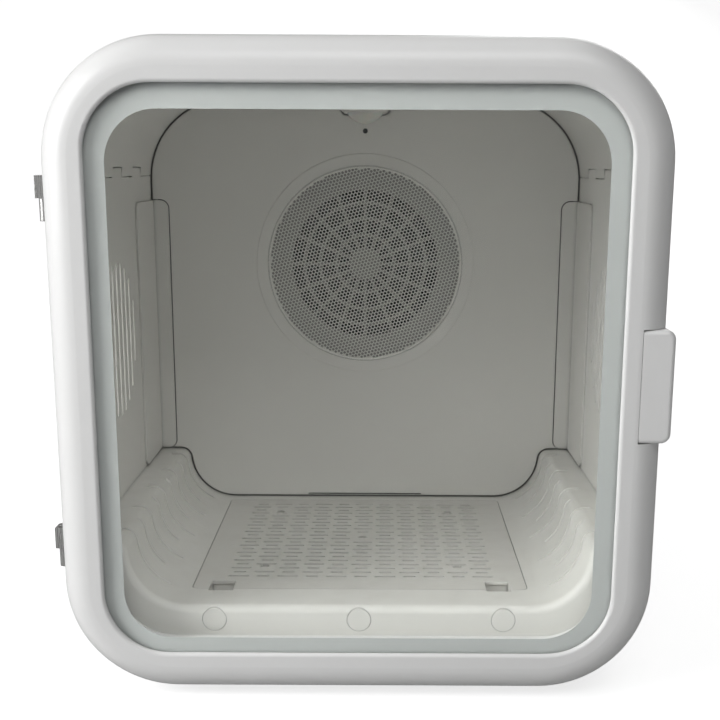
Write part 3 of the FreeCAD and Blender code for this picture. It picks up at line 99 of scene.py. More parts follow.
# --------------------------------------------------------------- node helpers
class Graph:
    """Short way to place and link nodes in one tree."""

    def __init__(self, tree: Tree) -> None:
        """Keeps the tree."""
        self.tree = tree

    def node(self, kind: str, **settings: object) -> bpy.types.Node:
        """Adds a node.

        Args:
            kind: the node's type name.
            settings: attributes to set on it.

        Returns:
            The new node.
        """
        made = self.tree.nodes.new(kind)
        for name, value in settings.items():
            setattr(made, name, value)
        return made

    def link(self, source: Socket, target: Socket) -> None:
        """Joins an output to an input."""
        self.tree.links.new(source, target)

    def math(self, operation: str, first: object, second: object = 0.0, clamp: bool = False) -> Socket:
        """Adds a Math node.

        Args:
            operation: its operation.
            first: a socket or a number.
            second: a socket or a number.
            clamp: whether the result stays between 0 and 1.

        Returns:
            The result's socket.
        """
        made = self.node("ShaderNodeMath", operation=operation, use_clamp=clamp)
        for place, value in enumerate((first, second)):
            self.feed(made.inputs[place], value)
        return made.outputs[0]

    def feed(self, socket: Socket, value: object) -> None:
        """Links a socket, or sets a plain value."""
        if isinstance(value, Socket):
            self.link(value, socket)
        else:
            socket.default_value = value

    def noise(self, vector: Socket, scale: object, detail: float = 3.0, rough: float = 0.5) -> Socket:
        """Adds a noise over a vector.

        Args:
            vector: where the noise is read.
            scale: a socket or a number.
            detail: octaves.
            rough: strength of the finer octaves.

        Returns:
            The noise's value.
        """
        made = self.node("ShaderNodeTexNoise")
        self.link(vector, made.inputs["Vector"])
        self.feed(made.inputs["Scale"], scale)
        made.inputs["Detail"].default_value = detail
        made.inputs["Roughness"].default_value = rough
        return made.outputs["Fac"]

    def span(
        self, value: Socket, low: object, high: object, out_low: float = 0.0, out_high: float = 1.0
    ) -> Socket:
        """Maps a value from one span to another, clamped.

        Args:
            value: the value.
            low: start of the span that is read.
            high: end of the span that is read.
            out_low: result at the start.
            out_high: result at the end.

        Returns:
            The result's socket.
        """
        made = self.node("ShaderNodeMapRange")
        self.link(value, made.inputs["Value"])
        self.feed(made.inputs["From Min"], low)
        self.feed(made.inputs["From Max"], high)
        made.inputs["To Min"].default_value = out_low
        made.inputs["To Max"].default_value = out_high
        return made.outputs["Result"]

    def blend(self, share: object, first: object, second: object) -> Socket:
        """Mixes two colours.

        Args:
            share: how much of the second.
            first: a socket or a colour.
            second: a socket or a colour.

        Returns:
            The mixed colour.
        """
        made = self.node("ShaderNodeMix", data_type="RGBA")
        self.feed(made.inputs[0], share)
        self.feed(made.inputs[6], first)
        self.feed(made.inputs[7], second)
        return made.outputs[2]


@dataclass(frozen=True)
class Port:
    """One named socket of a node group."""

    name: str
    kind: str = "NodeSocketFloat"
    value: object = None
    output: bool = False


def new_group(name: str, ports: list[Port]) -> tuple[Tree, Graph, bpy.types.Node, bpy.types.Node]:
    """Makes an empty node group with its sockets.

    Args:
        name: the group's name.
        ports: its sockets.

    Returns:
        The group, a graph to fill it, its input node and its output node.
    """
    tree = bpy.data.node_groups.new(name, "ShaderNodeTree")
    for port in ports:
        side = "OUTPUT" if port.output else "INPUT"
        made = tree.interface.new_socket(port.name, in_out=side, socket_type=port.kind)
        if port.value is not None:
            made.default_value = port.value
    graph = Graph(tree)
    return tree, graph, graph.node("NodeGroupInput"), graph.node("NodeGroupOutput")


def own_position(graph: Graph) -> Socket:
    """Position in the piece's own frame, in metres."""
    return graph.node("ShaderNodeTexCoord").outputs["Object"]


# -------------------------------------------------------------- shared effects
def moulded_colour_group() -> Tree:
    """Slow drift between two close tones, with sparse fine specks.

    Returns:
        The node group.
    """
    tree, graph, given, made = new_group(
        "moulded_colour",
        [
            Port("Tone", "NodeSocketColor", (0.8, 0.8, 0.8, 1)),
            Port("Second Tone", "NodeSocketColor", (0.7, 0.7, 0.7, 1)),
            Port("Drift Scale", value=6.0),
            Port("Drift", value=0.5),
            Port("Specks", value=0.0),
            Port("Color", "NodeSocketColor", output=True),
            Port("Drift Mask", output=True),
        ],
    )
    place = own_position(graph)
    wide = graph.span(graph.noise(place, given.outputs["Drift Scale"], 4.0, 0.55), 0.35, 0.68)
    share = graph.math("MULTIPLY", wide, given.outputs["Drift"])
    colour = graph.blend(share, given.outputs["Tone"], given.outputs["Second Tone"])
    speck = graph.span(graph.noise(place, 420.0, 1.0, 0.4), 0.70, 0.76)
    speck = graph.math("MULTIPLY", speck, given.outputs["Specks"])
    graph.link(graph.blend(speck, colour, (0.30, 0.28, 0.25, 1)), made.inputs["Color"])
    graph.link(share, made.inputs["Drift Mask"])
    return tree


def surface_grain_group() -> Tree:
    """Fine relief and uneven gloss of a moulded surface.

    Returns:
        The node group.
    """
    tree, graph, given, made = new_group(
        "surface_grain",
        [
            Port("Grain Scale", value=1800.0),
            Port("Waviness", value=0.2),
            Port("Gloss", value=0.4),
            Port("Gloss Spread", value=0.08),
            Port("Height", output=True),
            Port("Roughness", output=True),
        ],
    )
    place = own_position(graph)
    fine = graph.noise(place, given.outputs["Grain Scale"], 2.0, 0.6)
    wave = graph.noise(place, 22.0, 2.0, 0.5)
    lift = graph.math("MULTIPLY", wave, given.outputs["Waviness"])
    graph.link(graph.math("ADD", fine, lift), made.inputs["Height"])
    blotch = graph.math("SUBTRACT", graph.noise(place, 14.0, 5.0, 0.65), 0.5)
    swing = graph.math("MULTIPLY", blotch, given.outputs["Gloss Spread"])
    graph.link(graph.math("ADD", given.outputs["Gloss"], swing, True), made.inputs["Roughness"])
    return tree


def edge_wear_group() -> Tree:
    """Mask and rounded normal of the edges that hands and cloths rub.

    Returns:
        The node group.
    """
    tree, graph, given, made = new_group(
        "edge_wear",
        [
            Port("Radius", value=0.0008),
            Port("Wear", value=0.4),
            Port("Mask", output=True),
            Port("Normal", "NodeSocketVector", output=True),
        ],
    )
    bevel = graph.node("ShaderNodeBevel", samples=4)
    graph.link(given.outputs["Radius"], bevel.inputs["Radius"])
    flat = graph.node("ShaderNodeNewGeometry").outputs["Normal"]
    dot = graph.node("ShaderNodeVectorMath", operation="DOT_PRODUCT")
    graph.link(bevel.outputs["Normal"], dot.inputs[0])
    graph.link(flat, dot.inputs[1])
    rim = graph.span(dot.outputs["Value"], 0.995, 0.86)
    patch = graph.span(graph.noise(own_position(graph), 90.0, 4.0, 0.7), 0.42, 0.62)
    mask = graph.math("MULTIPLY", graph.math("MULTIPLY", rim, patch), given.outputs["Wear"])
    graph.link(mask, made.inputs["Mask"])
    graph.link(bevel.outputs["Normal"], made.inputs["Normal"])
    return tree


def settled_dust_group() -> Tree:
    """Mask of the fine dust and lint that lies on faces that look up.

    Returns:
        The node group.
    """
    tree, graph, given, made = new_group(
        "settled_dust",
        [Port("Dust", value=0.2), Port("Scale", value=60.0), Port("Mask", output=True)],
    )
    up = graph.node("ShaderNodeSeparateXYZ")
    graph.link(graph.node("ShaderNodeNewGeometry").outputs["Normal"], up.inputs[0])
    facing = graph.span(up.outputs["Z"], 0.35, 1.0)
    clouds = graph.span(graph.noise(own_position(graph), given.outputs["Scale"], 6.0, 0.7), 0.45, 0.75)
    lying = graph.math("MULTIPLY", facing, clouds)
    graph.link(graph.math("MULTIPLY", lying, given.outputs["Dust"]), made.inputs["Mask"])
    return tree


def painted_crevice_shade_group() -> Tree:
    """Mask of narrow gaps and slots, for painted shade read from ambient occlusion.

    Returns:
        The node group.
    """
    tree, graph, given, made = new_group(
        "crevice_shade",
        [Port("Reach", value=0.007), Port("Amount", value=0.9), Port("Mask", output=True)],
    )
    open_sky = graph.node("ShaderNodeAmbientOcclusion", samples=3)
    graph.link(given.outputs["Reach"], open_sky.inputs["Distance"])
    narrow = graph.span(open_sky.outputs["AO"], 0.44, 0.14)
    graph.link(graph.math("MULTIPLY", narrow, given.outputs["Amount"]), made.inputs["Mask"])
    return tree


def brushed_lines_group() -> Tree:
    """Fine parallel lines of brushed or drawn metal, along Z.

    Returns:
        The node group.
    """
    tree, graph, given, made = new_group(
        "brushed_lines",
        [
            Port("Line Scale", value=900.0),
            Port("Gloss", value=0.3),
            Port("Height", output=True),
            Port("Roughness", output=True),
        ],
    )
    stretch = graph.node("ShaderNodeMapping")
    stretch.inputs["Scale"].default_value = (1.0, 1.0, 0.04)
    graph.link(own_position(graph), stretch.inputs["Vector"])
    lines = graph.noise(stretch.outputs["Vector"], given.outputs["Line Scale"], 3.0, 0.6)
    graph.link(lines, made.inputs["Height"])
    swing = graph.math("MULTIPLY", graph.math("SUBTRACT", lines, 0.5), 0.3)
    graph.link(graph.math("ADD", given.outputs["Gloss"], swing, True), made.inputs["Roughness"])
    return tree


def open_cell_group() -> Tree:
    """Cells of a reticulated foam.

    Returns:
        The node group.
    """
    tree, graph, given, made = new_group(
        "open_cells",
        [Port("Cell Scale", value=700.0), Port("Height", output=True), Port("Shade", output=True)],
    )
    cells = graph.node("ShaderNodeTexVoronoi", feature="DISTANCE_TO_EDGE")
    graph.link(own_position(graph), cells.inputs["Vector"])
    graph.link(given.outputs["Cell Scale"], cells.inputs["Scale"])
    wall = graph.span(cells.outputs["Distance"], 0.02, 0.22, 1.0, 0.0)
    graph.link(wall, made.inputs["Height"])
    graph.link(wall, made.inputs["Shade"])
    return tree


@dataclass
class Effects:
    """The shared node groups, each built once."""

    colour: Tree = field(default_factory=moulded_colour_group)
    grain: Tree = field(default_factory=surface_grain_group)
    edges: Tree = field(default_factory=edge_wear_group)
    dust: Tree = field(default_factory=settled_dust_group)
    lines: Tree = field(default_factory=brushed_lines_group)
    cells: Tree = field(default_factory=open_cell_group)
    painted_crevice_shades: Tree = field(default_factory=painted_crevice_shade_group)


# -------------------------------------------------------------------- finishes
DUST_TONE: Colour = (0.55, 0.52, 0.47)
# Near-black colour of the painted shade in narrow gaps and slots.
PAINTED_GAP_SHADE: Colour = (0.045, 0.042, 0.038)
DUST_DULLING: float = 0.4
COAT_ROUGHNESS: float = 0.08
MILK_DEPTH: float = 0.002


@dataclass(frozen=True)
class Finish:
    """An opaque finish: two tones, gloss, relief, worn edges and dust, with optional painted shade in narrow
    gaps and optional painted light from emission.
    """

    name: str
    tone: Colour
    second: Colour
    gloss: float = 0.4
    spread: float = 0.08
    pattern: Pattern = Pattern.SATIN
    grain_scale: float = 1800.0
    grain_depth: float = 0.00001
    waviness: float = 0.2
    drift_scale: float = 6.0
    drift: float = 0.5
    specks: float = 0.0
    edge_radius: float = 0.0007
    wear: float = 0.25
    worn: Colour = (0.93, 0.93, 0.92)
    dust: float = 0.1
    metallic: float = 0.0
    coat: float = 0.0
    subsurface: float = 0.0
    painted_crevice_shade: float = 0.0
    painted_shade_reach: float = 0.007
    painted_glow: float = 0.0

    def _place(self, graph: Graph, tree: Tree, **values: object) -> bpy.types.Node:
        """Adds a group node with its own values.

        Args:
            graph: the material's graph.
            tree: the node group.
            values: inputs by name, with underscores for spaces.

        Returns:
            The group node.
        """
        made = graph.node("ShaderNodeGroup", node_tree=tree)
        for name, value in values.items():
            made.inputs[name.replace("_", " ")].default_value = value
        return made

    def _relief(self, graph: Graph, effects: Effects) -> tuple[Socket, Socket | None]:
        """Relief and gloss of the finish's pattern.

        Args:
            graph: the material's graph.
            effects: the shared groups.

        Returns:
            The height, and the roughness or None.
        """
        if self.pattern is Pattern.BRUSHED:
            made = self._place(graph, effects.lines, Line_Scale=self.grain_scale, Gloss=self.gloss)
            return made.outputs["Height"], made.outputs["Roughness"]
        if self.pattern is Pattern.FOAM:
            made = self._place(graph, effects.cells, Cell_Scale=self.grain_scale)
            return made.outputs["Height"], None
        made = self._place(
            graph,
            effects.grain,
            Grain_Scale=self.grain_scale,
            Waviness=self.waviness,
            Gloss=self.gloss,
            Gloss_Spread=self.spread,
        )
        return made.outputs["Height"], made.outputs["Roughness"]

    def material(self, effects: Effects) -> bpy.types.Material:
        """Builds the finish's material.

        Args:
            effects: the shared groups.

        Returns:
            The material.
        """
        made = bpy.data.materials.new(self.name)
        made.use_nodes = True
        made.node_tree.nodes.clear()
        graph = Graph(made.node_tree)
        output = graph.node("ShaderNodeOutputMaterial")
        shader = graph.node("ShaderNodeBsdfPrincipled")
        graph.link(shader.outputs[0], output.inputs["Surface"])
        colour = self._place(
            graph,
            effects.colour,
            Tone=(*self.tone, 1),
            Second_Tone=(*self.second, 1),
            Drift_Scale=self.drift_scale,
            Drift=self.drift,
            Specks=self.specks,
        )
        edges = self._place(graph, effects.edges, Radius=self.edge_radius, Wear=self.wear)
        dust = self._place(graph, effects.dust, Dust=self.dust)
        worn = graph.blend(edges.outputs["Mask"], colour.outputs["Color"], (*self.worn, 1))
        dusty = graph.blend(dust.outputs["Mask"], worn, (*DUST_TONE, 1))
        # Painted shade: narrow gaps and slots darkened towards a near-black tone where ambient occlusion is
        # low.
        if self.painted_crevice_shade:
            gaps = self._place(graph, effects.painted_crevice_shades, Reach=self.painted_shade_reach, Amount=self.painted_crevice_shade)
            dusty = graph.blend(gaps.outputs["Mask"], dusty, (*PAINTED_GAP_SHADE, 1))
        graph.link(dusty, shader.inputs["Base Color"])
        height, rough = self._relief(graph, effects)
        if rough is None:
            shader.inputs["Roughness"].default_value = self.gloss
        else:
            dulled = graph.math("MULTIPLY", dust.outputs["Mask"], DUST_DULLING)
            graph.link(graph.math("ADD", rough, dulled, True), shader.inputs["Roughness"])
        bump = graph.node("ShaderNodeBump")
        bump.inputs["Strength"].default_value = 1.0
        bump.inputs["Distance"].default_value = self.grain_depth
        graph.link(height, bump.inputs["Height"])
        graph.link(edges.outputs["Normal"], bump.inputs["Normal"])
        graph.link(bump.outputs["Normal"], shader.inputs["Normal"])
        shader.inputs["Metallic"].default_value = self.metallic
        shader.inputs["Coat Weight"].default_value = self.coat
        shader.inputs["Coat Roughness"].default_value = COAT_ROUGHNESS
        shader.inputs["Subsurface Weight"].default_value = self.subsurface
        shader.inputs["Subsurface Scale"].default_value = MILK_DEPTH
        # Painted light: emission in the finish's own tone, for pieces that stand in for light coming through
        # them.
        shader.inputs["Emission Color"].default_value = (*self.tone, 1)
        shader.inputs["Emission Strength"].default_value = self.painted_glow
        return made


@dataclass(frozen=True)
class PaneFinish:
    """Clear toughened glass that lets lamps through."""

    name: str = "toughened_pane"
    tint: Colour = (0.975, 0.985, 0.975)
    ior: float = 1.5

    def material(self, effects: Effects) -> bpy.types.Material:
        """Builds the pane's material.

        Args:
            effects: the shared groups, not used here.

        Returns:
            The material.
        """
        made = bpy.data.materials.new(self.name)
        made.use_nodes = True
        made.node_tree.nodes.clear()
        graph = Graph(made.node_tree)
        output = graph.node("ShaderNodeOutputMaterial")
        shader = graph.node("ShaderNodeBsdfPrincipled")
        shader.inputs["Base Color"].default_value = (*self.tint, 1)
        shader.inputs["Transmission Weight"].default_value = 1.0
        shader.inputs["IOR"].default_value = self.ior
        shader.inputs["Roughness"].default_value = 0.0
        clear = graph.node("ShaderNodeBsdfTransparent")
        clear.inputs["Color"].default_value = (*self.tint, 1)
        mix = graph.node("ShaderNodeMixShader")
        graph.link(graph.node("ShaderNodeLightPath").outputs["Is Shadow Ray"], mix.inputs[0])
        graph.link(shader.outputs[0], mix.inputs[1])
        graph.link(clear.outputs[0], mix.inputs[2])
        graph.link(mix.outputs[0], output.inputs["Surface"])
        return made


FINISHES: dict[Slot, Finish | PaneFinish] = {
    Slot.CASE: Finish(
        "case_plastic", (0.80, 0.80, 0.79), (0.77, 0.77, 0.755), gloss=0.36, grain_depth=0.000006,
        wear=0.2, dust=0.12, painted_crevice_shade=0.6, painted_shade_reach=0.004,
    ),
    Slot.DOOR: Finish(
        "door_plastic", (0.83, 0.83, 0.825), (0.80, 0.80, 0.79), gloss=0.30, grain_depth=0.000004,
        wear=0.15, dust=0.06, painted_crevice_shade=0.6, painted_shade_reach=0.003,
    ),
    Slot.LINER: Finish(
        "liner_plastic", (0.84, 0.828, 0.80), (0.80, 0.788, 0.755), gloss=0.42,
        pattern=Pattern.TEXTURED, grain_depth=0.000012, specks=0.05, wear=0.2, dust=0.2,
        painted_crevice_shade=0.92,
    ),
    Slot.GRILLE: Finish(
        "grille_plastic", (0.77, 0.755, 0.725), (0.73, 0.715, 0.685), gloss=0.46,
        pattern=Pattern.TEXTURED, grain_depth=0.000015, specks=0.08, wear=0.3, dust=0.25,
        painted_crevice_shade=0.8,
    ),
    Slot.WINDOW: PaneFinish(),
    Slot.MESH: Finish(
        "mesh_paint", (0.92, 0.91, 0.88), (0.88, 0.87, 0.84), gloss=0.45, edge_radius=0.0002,
        wear=0.1, dust=0.15,
    ),
    Slot.GUARD: Finish(
        "guard_plastic", (0.42, 0.412, 0.40), (0.38, 0.372, 0.36), gloss=0.5, edge_radius=0.0004,
        dust=0.3,
    ),
    Slot.HINGE: Finish(
        "hinge_steel", (0.56, 0.56, 0.55), (0.50, 0.50, 0.49), gloss=0.28, pattern=Pattern.BRUSHED,
        grain_scale=1400.0, grain_depth=0.00001, worn=(0.8, 0.8, 0.79), wear=0.6, metallic=0.7,
    ),
    Slot.SCREW: Finish(
        "screw_steel", (0.50, 0.50, 0.50), (0.42, 0.42, 0.41), gloss=0.3, grain_scale=2600.0,
        worn=(0.8, 0.8, 0.78), edge_radius=0.0003, wear=0.6, metallic=1.0,
    ),
    Slot.RUBBER: Finish(
        "foot_rubber", (0.035, 0.035, 0.037), (0.055, 0.055, 0.055), gloss=0.75,
        grain_scale=1200.0, grain_depth=0.00003, worn=(0.14, 0.14, 0.14), wear=0.5, dust=0.4,
    ),
    Slot.SEAL: Finish(
        "seal_rubber", (0.52, 0.52, 0.51), (0.46, 0.46, 0.45), gloss=0.6, grain_scale=1500.0,
        grain_depth=0.00002, dust=0.3,
    ),
    Slot.PANEL: Finish(
        "panel_gloss", (0.012, 0.012, 0.014), (0.018, 0.018, 0.02), gloss=0.08, spread=0.06,
        grain_depth=0.000001, worn=(0.05, 0.05, 0.05), coat=0.6, dust=0.15,
    ),
    Slot.BOARD: Finish(
        "circuit_board", (0.03, 0.16, 0.07), (0.02, 0.11, 0.05), gloss=0.35, drift_scale=90.0,
        drift=0.9, worn=(0.5, 0.45, 0.3),
    ),
    Slot.DUCT: Finish(
        "duct_plastic", (0.07, 0.07, 0.072), (0.10, 0.10, 0.10), gloss=0.5, worn=(0.2, 0.2, 0.2),
        dust=0.35,
    ),
    Slot.FAN: Finish(
        "fan_plastic", (0.05, 0.05, 0.052), (0.08, 0.08, 0.08), gloss=0.35, worn=(0.2, 0.2, 0.2),
        dust=0.3,
    ),
    Slot.HEATER: Finish(
        "heater_fins", (0.055, 0.055, 0.057), (0.04, 0.04, 0.04), gloss=0.7, worn=(0.2, 0.2, 0.2),
        metallic=0.3,
    ),
    Slot.MOTOR: Finish(
        "motor_paint", (0.16, 0.16, 0.165), (0.13, 0.13, 0.13), gloss=0.35, worn=(0.5, 0.5, 0.5),
        wear=0.4, metallic=0.4,
    ),
    Slot.INLET: Finish(
        "inlet_plastic", (0.022, 0.022, 0.023), (0.035, 0.035, 0.035), gloss=0.42,
        worn=(0.16, 0.16, 0.16), wear=0.4,
    ),
    Slot.PINS: Finish(
        "contact_brass", (0.72, 0.56, 0.30), (0.60, 0.46, 0.24), gloss=0.25,
        worn=(0.85, 0.75, 0.5), metallic=1.0,
    ),
    Slot.MAGNET: Finish(
        "magnet_plate", (0.42, 0.42, 0.43), (0.36, 0.36, 0.36), gloss=0.3, worn=(0.7, 0.7, 0.7),
        metallic=1.0,
    ),
    Slot.LAMP: Finish(
        "lamp_cap", (0.80, 0.80, 0.76), (0.76, 0.76, 0.72), gloss=0.3, subsurface=0.4, dust=0.1,
    ),
    Slot.FOAM: Finish(
        "filter_foam", (0.03, 0.03, 0.032), (0.05, 0.05, 0.05), gloss=0.9, pattern=Pattern.FOAM,
        grain_scale=650.0, grain_depth=0.0004, worn=(0.1, 0.1, 0.1), dust=0.3,
    ),
}


# Painted light: the side vent ducts get a white, faintly emissive copy of their plastic, standing in for
# daylight through the vents.
PAINTED_LIGHT_DUCT: Finish = Finish("painted_light_duct_plastic", (0.93, 0.93, 0.91), (0.91, 0.91, 0.89), gloss=0.4, painted_glow=0.14)
PAINTED_LIGHT_VENTS: tuple[str, str] = ("left_side_vent", "right_side_vent")


class FinishShelf:
    """All materials of the cabinet, by slot."""

    def __init__(self) -> None:
        """Builds every finish once, and the white emissive one of the side vents, which is painted light."""
        effects = Effects()
        self.by_slot = {slot: finish.material(effects) for slot, finish in FINISHES.items()}
        self.painted_light_finish = PAINTED_LIGHT_DUCT.material(effects)
        self.effects = effects

    def dress(self, piece: bpy.types.Object, slot: Slot) -> None:
        """Gives a piece the material of a slot.

        Args:
            piece: the object.
            slot: its slot in the record.
        """
        piece.data.materials.clear()
        piece.data.materials.append(self.by_slot[slot])


# ------------------------------------------------------------------ mesh helpers
def new_piece(
    name: str, points: list[Point], faces: list[tuple[int, ...]], smooth: bool = False
) -> bpy.types.Object:
    """Makes a mesh object with outward normals.

    Args:
        name: the piece's name.
        points: its vertices, in metres.
        faces: its faces.
        smooth: whether its faces shade smoothly.

    Returns:
        The object, linked to the scene.
    """
    mesh = bpy.data.meshes.new(name)
    mesh.from_pydata(points, [], faces)
    form = bmesh.new()
    form.from_mesh(mesh)
    bmesh.ops.recalc_face_normals(form, faces=form.faces)
    form.to_mesh(mesh)
    form.free()
    if smooth:
        mesh.shade_smooth()
    made = bpy.data.objects.new(name, mesh)
    bpy.context.scene.collection.objects.link(made)
    return made


def rounded_outline(
    half_width: float, low: float, high: float, radius: float, steps: int
) -> list[tuple[float, float]]:
    """Points of a rounded rectangle in X and Z.

    Args:
        half_width: half of its width.
        low: its lower edge.
        high: its upper edge.
        radius: of its corners.
        steps: parts of each corner.

    Returns:
        The points, counter-clockwise.
    """
    corners = [
        (-half_width + radius, low + radius, 180),
        (half_width - radius, low + radius, 270),
        (half_width - radius, high - radius, 0),
        (-half_width + radius, high - radius, 90),
    ]
    points = []
    for cx, cz, start in corners:
        for step in range(steps + 1):
            turn = math.radians(start + 90 * step / steps)
            points.append((cx + radius * math.cos(turn), cz + radius * math.sin(turn)))
    return points


def loft(name: str, loops: list[list[Point]]) -> bpy.types.Object:
    """Closed tube of equal loops, the last joined to the first.

    Args:
        name: the piece's name.
        loops: rings of points, all of one length.

    Returns:
        The object.
    """
    count = len(loops[0])
    points = [p for loop in loops for p in loop]
    faces = []
    for ring in range(len(loops)):
        here = ring * count
        there = (ring + 1) % len(loops) * count
        for place in range(count):
            nxt = (place + 1) % count
            faces.append((here + place, here + nxt, there + nxt, there + place))
    return new_piece(name, points, faces)


# ------------------------------------------------------------------ sub-assemblies
@dataclass
class CadFinisher:
    """Gives every solid of the frame its finish."""

    shelf: FinishShelf

    def build(self) -> None:
        """Dresses each node by its slot in the record, and gives the side vents the painted light finish."""
        for entry in frame["record"]["subparts"]:
            node = frame["nodes"][entry["node"]]
            self.shelf.dress(node, Slot(entry["material_slot"]))
            if entry["node"] in PAINTED_LIGHT_VENTS:
                node.data.materials[0] = self.shelf.painted_light_finish
            log.info("finish %s on %s", entry["material_slot"], entry["node"])


@dataclass
class FanDisc:
    """Finely perforated disc over the fan, with a rolled rim."""

    shelf: FinishShelf
    pitch: float = 3.4 * MM
    hole: float = 1.36 * MM
    sides: int = 8
    turn: float = math.radians(15.0)
    border: float = 0.6 * MM
    thickness: float = 0.8 * MM
    rim: float = 0.9 * MM
    rim_half: float = 0.55 * MM
    rim_steps: int = 160
    rim_sides: int = 10
    side_clear: float = 0.1 * MM
    back_clear: float = 0.05 * MM

    def _centres(self, reach: float) -> list[tuple[float, float]]:
        """Hole centres of the hexagonal pattern.

        Args:
            reach: largest distance from the disc's middle.

        Returns:
            Centres in the disc's plane.
        """
        rise = self.pitch * math.sqrt(0.75)
        count = int(reach / rise) + 2
        centres = []
        for row in range(-count, count + 1):
            for column in range(-count, count + 1):
                x = (column + (row % 2) / 2) * self.pitch
                z = row * rise
                if math.hypot(x, z) < reach:
                    cos, sin = math.cos(self.turn), math.sin(self.turn)
                    centres.append((x * cos - z * sin, x * sin + z * cos))
        return centres

    def _sheet(
        self, radius: float, centres: list[tuple[float, float]]
    ) -> tuple[list[Vector], list[tuple[int, int]], list[list[int]]]:
        """Flat triangles between the holes.

        Args:
            radius: of the sheet.
            centres: of the holes.

        Returns:
            Points, boundary edges and triangles.
        """
        points = []
        edges = []

        def add_loop(cx: float, cz: float, size: float, count: int) -> None:
            """Adds one closed loop of points and edges.

            Args:
                cx: its middle, across.
                cz: its middle, upwards.
                size: its radius.
                count: its points.
            """
            first = len(points)
            for step in range(count):
                angle = 2 * math.pi * step / count
                points.append(Vector((cx + size * math.cos(angle), cz + size * math.sin(angle))))
                edges.append((first + step, first + (step + 1) % count))

        add_loop(0.0, 0.0, radius, self.rim_steps)
        for cx, cz in centres:
            add_loop(cx, cz, self.hole, self.sides)
        scale = 1.0 / radius
        result = delaunay_2d_cdt([p * scale for p in points], edges, [], 0, 1e-7)
        hole_of = {}
        for number in range(len(centres)):
            for step in range(self.sides):
                hole_of[self.rim_steps + number * self.sides + step] = number
        kept = []
        for face in result[2]:
            owners = {hole_of.get(corner, -1) for corner in face}
            if len(owners) > 1 or -1 in owners:
                kept.append(list(face))
        return points, edges, kept

    def build(self) -> bpy.types.Object:
        """Builds the disc and its rim, in place of the plain disc.

        Returns:
            The disc.
        """
        low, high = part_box("fan_mesh")
        middle = (low + high) / 2
        radius = (high.x - low.x) / 2 - self.side_clear
        back = high.y - self.back_clear
        centres = self._centres(radius - self.border - self.hole)
        flat, edges, faces = self._sheet(radius - self.rim, centres)
        count = len(flat)
        points = [(middle.x + p.x, back - self.thickness, middle.z + p.y) for p in flat]
        points += [(middle.x + p.x, back, middle.z + p.y) for p in flat]
        solid = [tuple(face) for face in faces]
        solid += [tuple(corner + count for corner in reversed(face)) for face in faces]
        solid += [(a, b, b + count, a + count) for a, b in edges]
        disc = new_piece("fan_disc_fine", points, solid)
        self.shelf.dress(disc, Slot.MESH)
        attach(disc, "cabinet")
        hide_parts("fan_mesh")
        self._rim_piece(middle, radius, back)
        log.info("fan disc with %d holes", len(centres))
        return disc

    def _rim_piece(self, middle: Vector, radius: float, back: float) -> None:
        """Rolled edge around the disc.

        Args:
            middle: the disc's middle.
            radius: outer radius.
            back: depth of its rear face.
        """
        loops = []
        for step in range(self.rim_sides):
            angle = 2 * math.pi * step / self.rim_sides
            reach = radius - self.rim + self.rim * math.cos(angle)
            depth = back - self.rim_half + self.rim_half * math.sin(angle)
            loop = []
            for place in range(self.rim_steps):
                turn = 2 * math.pi * place / self.rim_steps
                loop.append((middle.x + reach * math.cos(turn), depth, middle.z + reach * math.sin(turn)))
            loops.append(loop)
        rim = loft("fan_disc_rim", loops)
        rim.data.shade_smooth()
        self.shelf.dress(rim, Slot.MESH)
        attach(rim, "cabinet")


@dataclass
class WindowBand:
    """Frosted band fired on the back of the pane, along its edge."""

    shelf: FinishShelf
    width: float = 13.8 * MM
    thickness: float = 0.25 * MM
    corner: float = 47.0 * MM
    inner_drop: float = 3.2 * MM
    inner_ease: float = 3.0 * MM
    overlap: float = 6.5 * MM
    tuck: float = 0.8 * MM
    gap: float = 0.1 * MM
    corner_steps: int = 20

    def build(self) -> bpy.types.Object:
        """Builds the band behind the pane.

        Returns:
            The band.
        """
        low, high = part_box("door_glass")
        half = high.x - self.overlap
        bottom = low.z + self.overlap
        top = high.z - self.overlap
        y = high.y + self.gap
        loops = []
        for depth, grow in (
            (0, self.tuck),
            (0, -self.width),
            (self.thickness, -self.width),
            (self.thickness, self.tuck),
        ):
            drop, ease = (self.inner_drop, self.inner_ease) if grow < 0 else (0.0, 0.0)
            radius = self.corner + grow + ease
            edges = (bottom - grow - drop, top + grow - drop)
            outline = rounded_outline(half + grow, *edges, radius, self.corner_steps)
            loops.append([(x, y + depth, z) for x, z in outline])
        band = loft("window_frosted_band", loops)
        self.shelf.dress(band, Slot.WINDOW)
        band.data.materials.clear()
        band.data.materials.append(self._frost())
        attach(band, "door")
        log.info("frosted band")
        return band

    def _frost(self) -> bpy.types.Material:
        """Pale blue-green enamel.

        Returns:
            The material.
        """
        frost = Finish(
            "frosted_enamel", (0.60, 0.618, 0.614), (0.58, 0.598, 0.594),
            gloss=0.55, grain_depth=0.000004, edge_radius=0.0001, wear=0.0, dust=0.0,
        )
        return frost.material(self.shelf.effects)


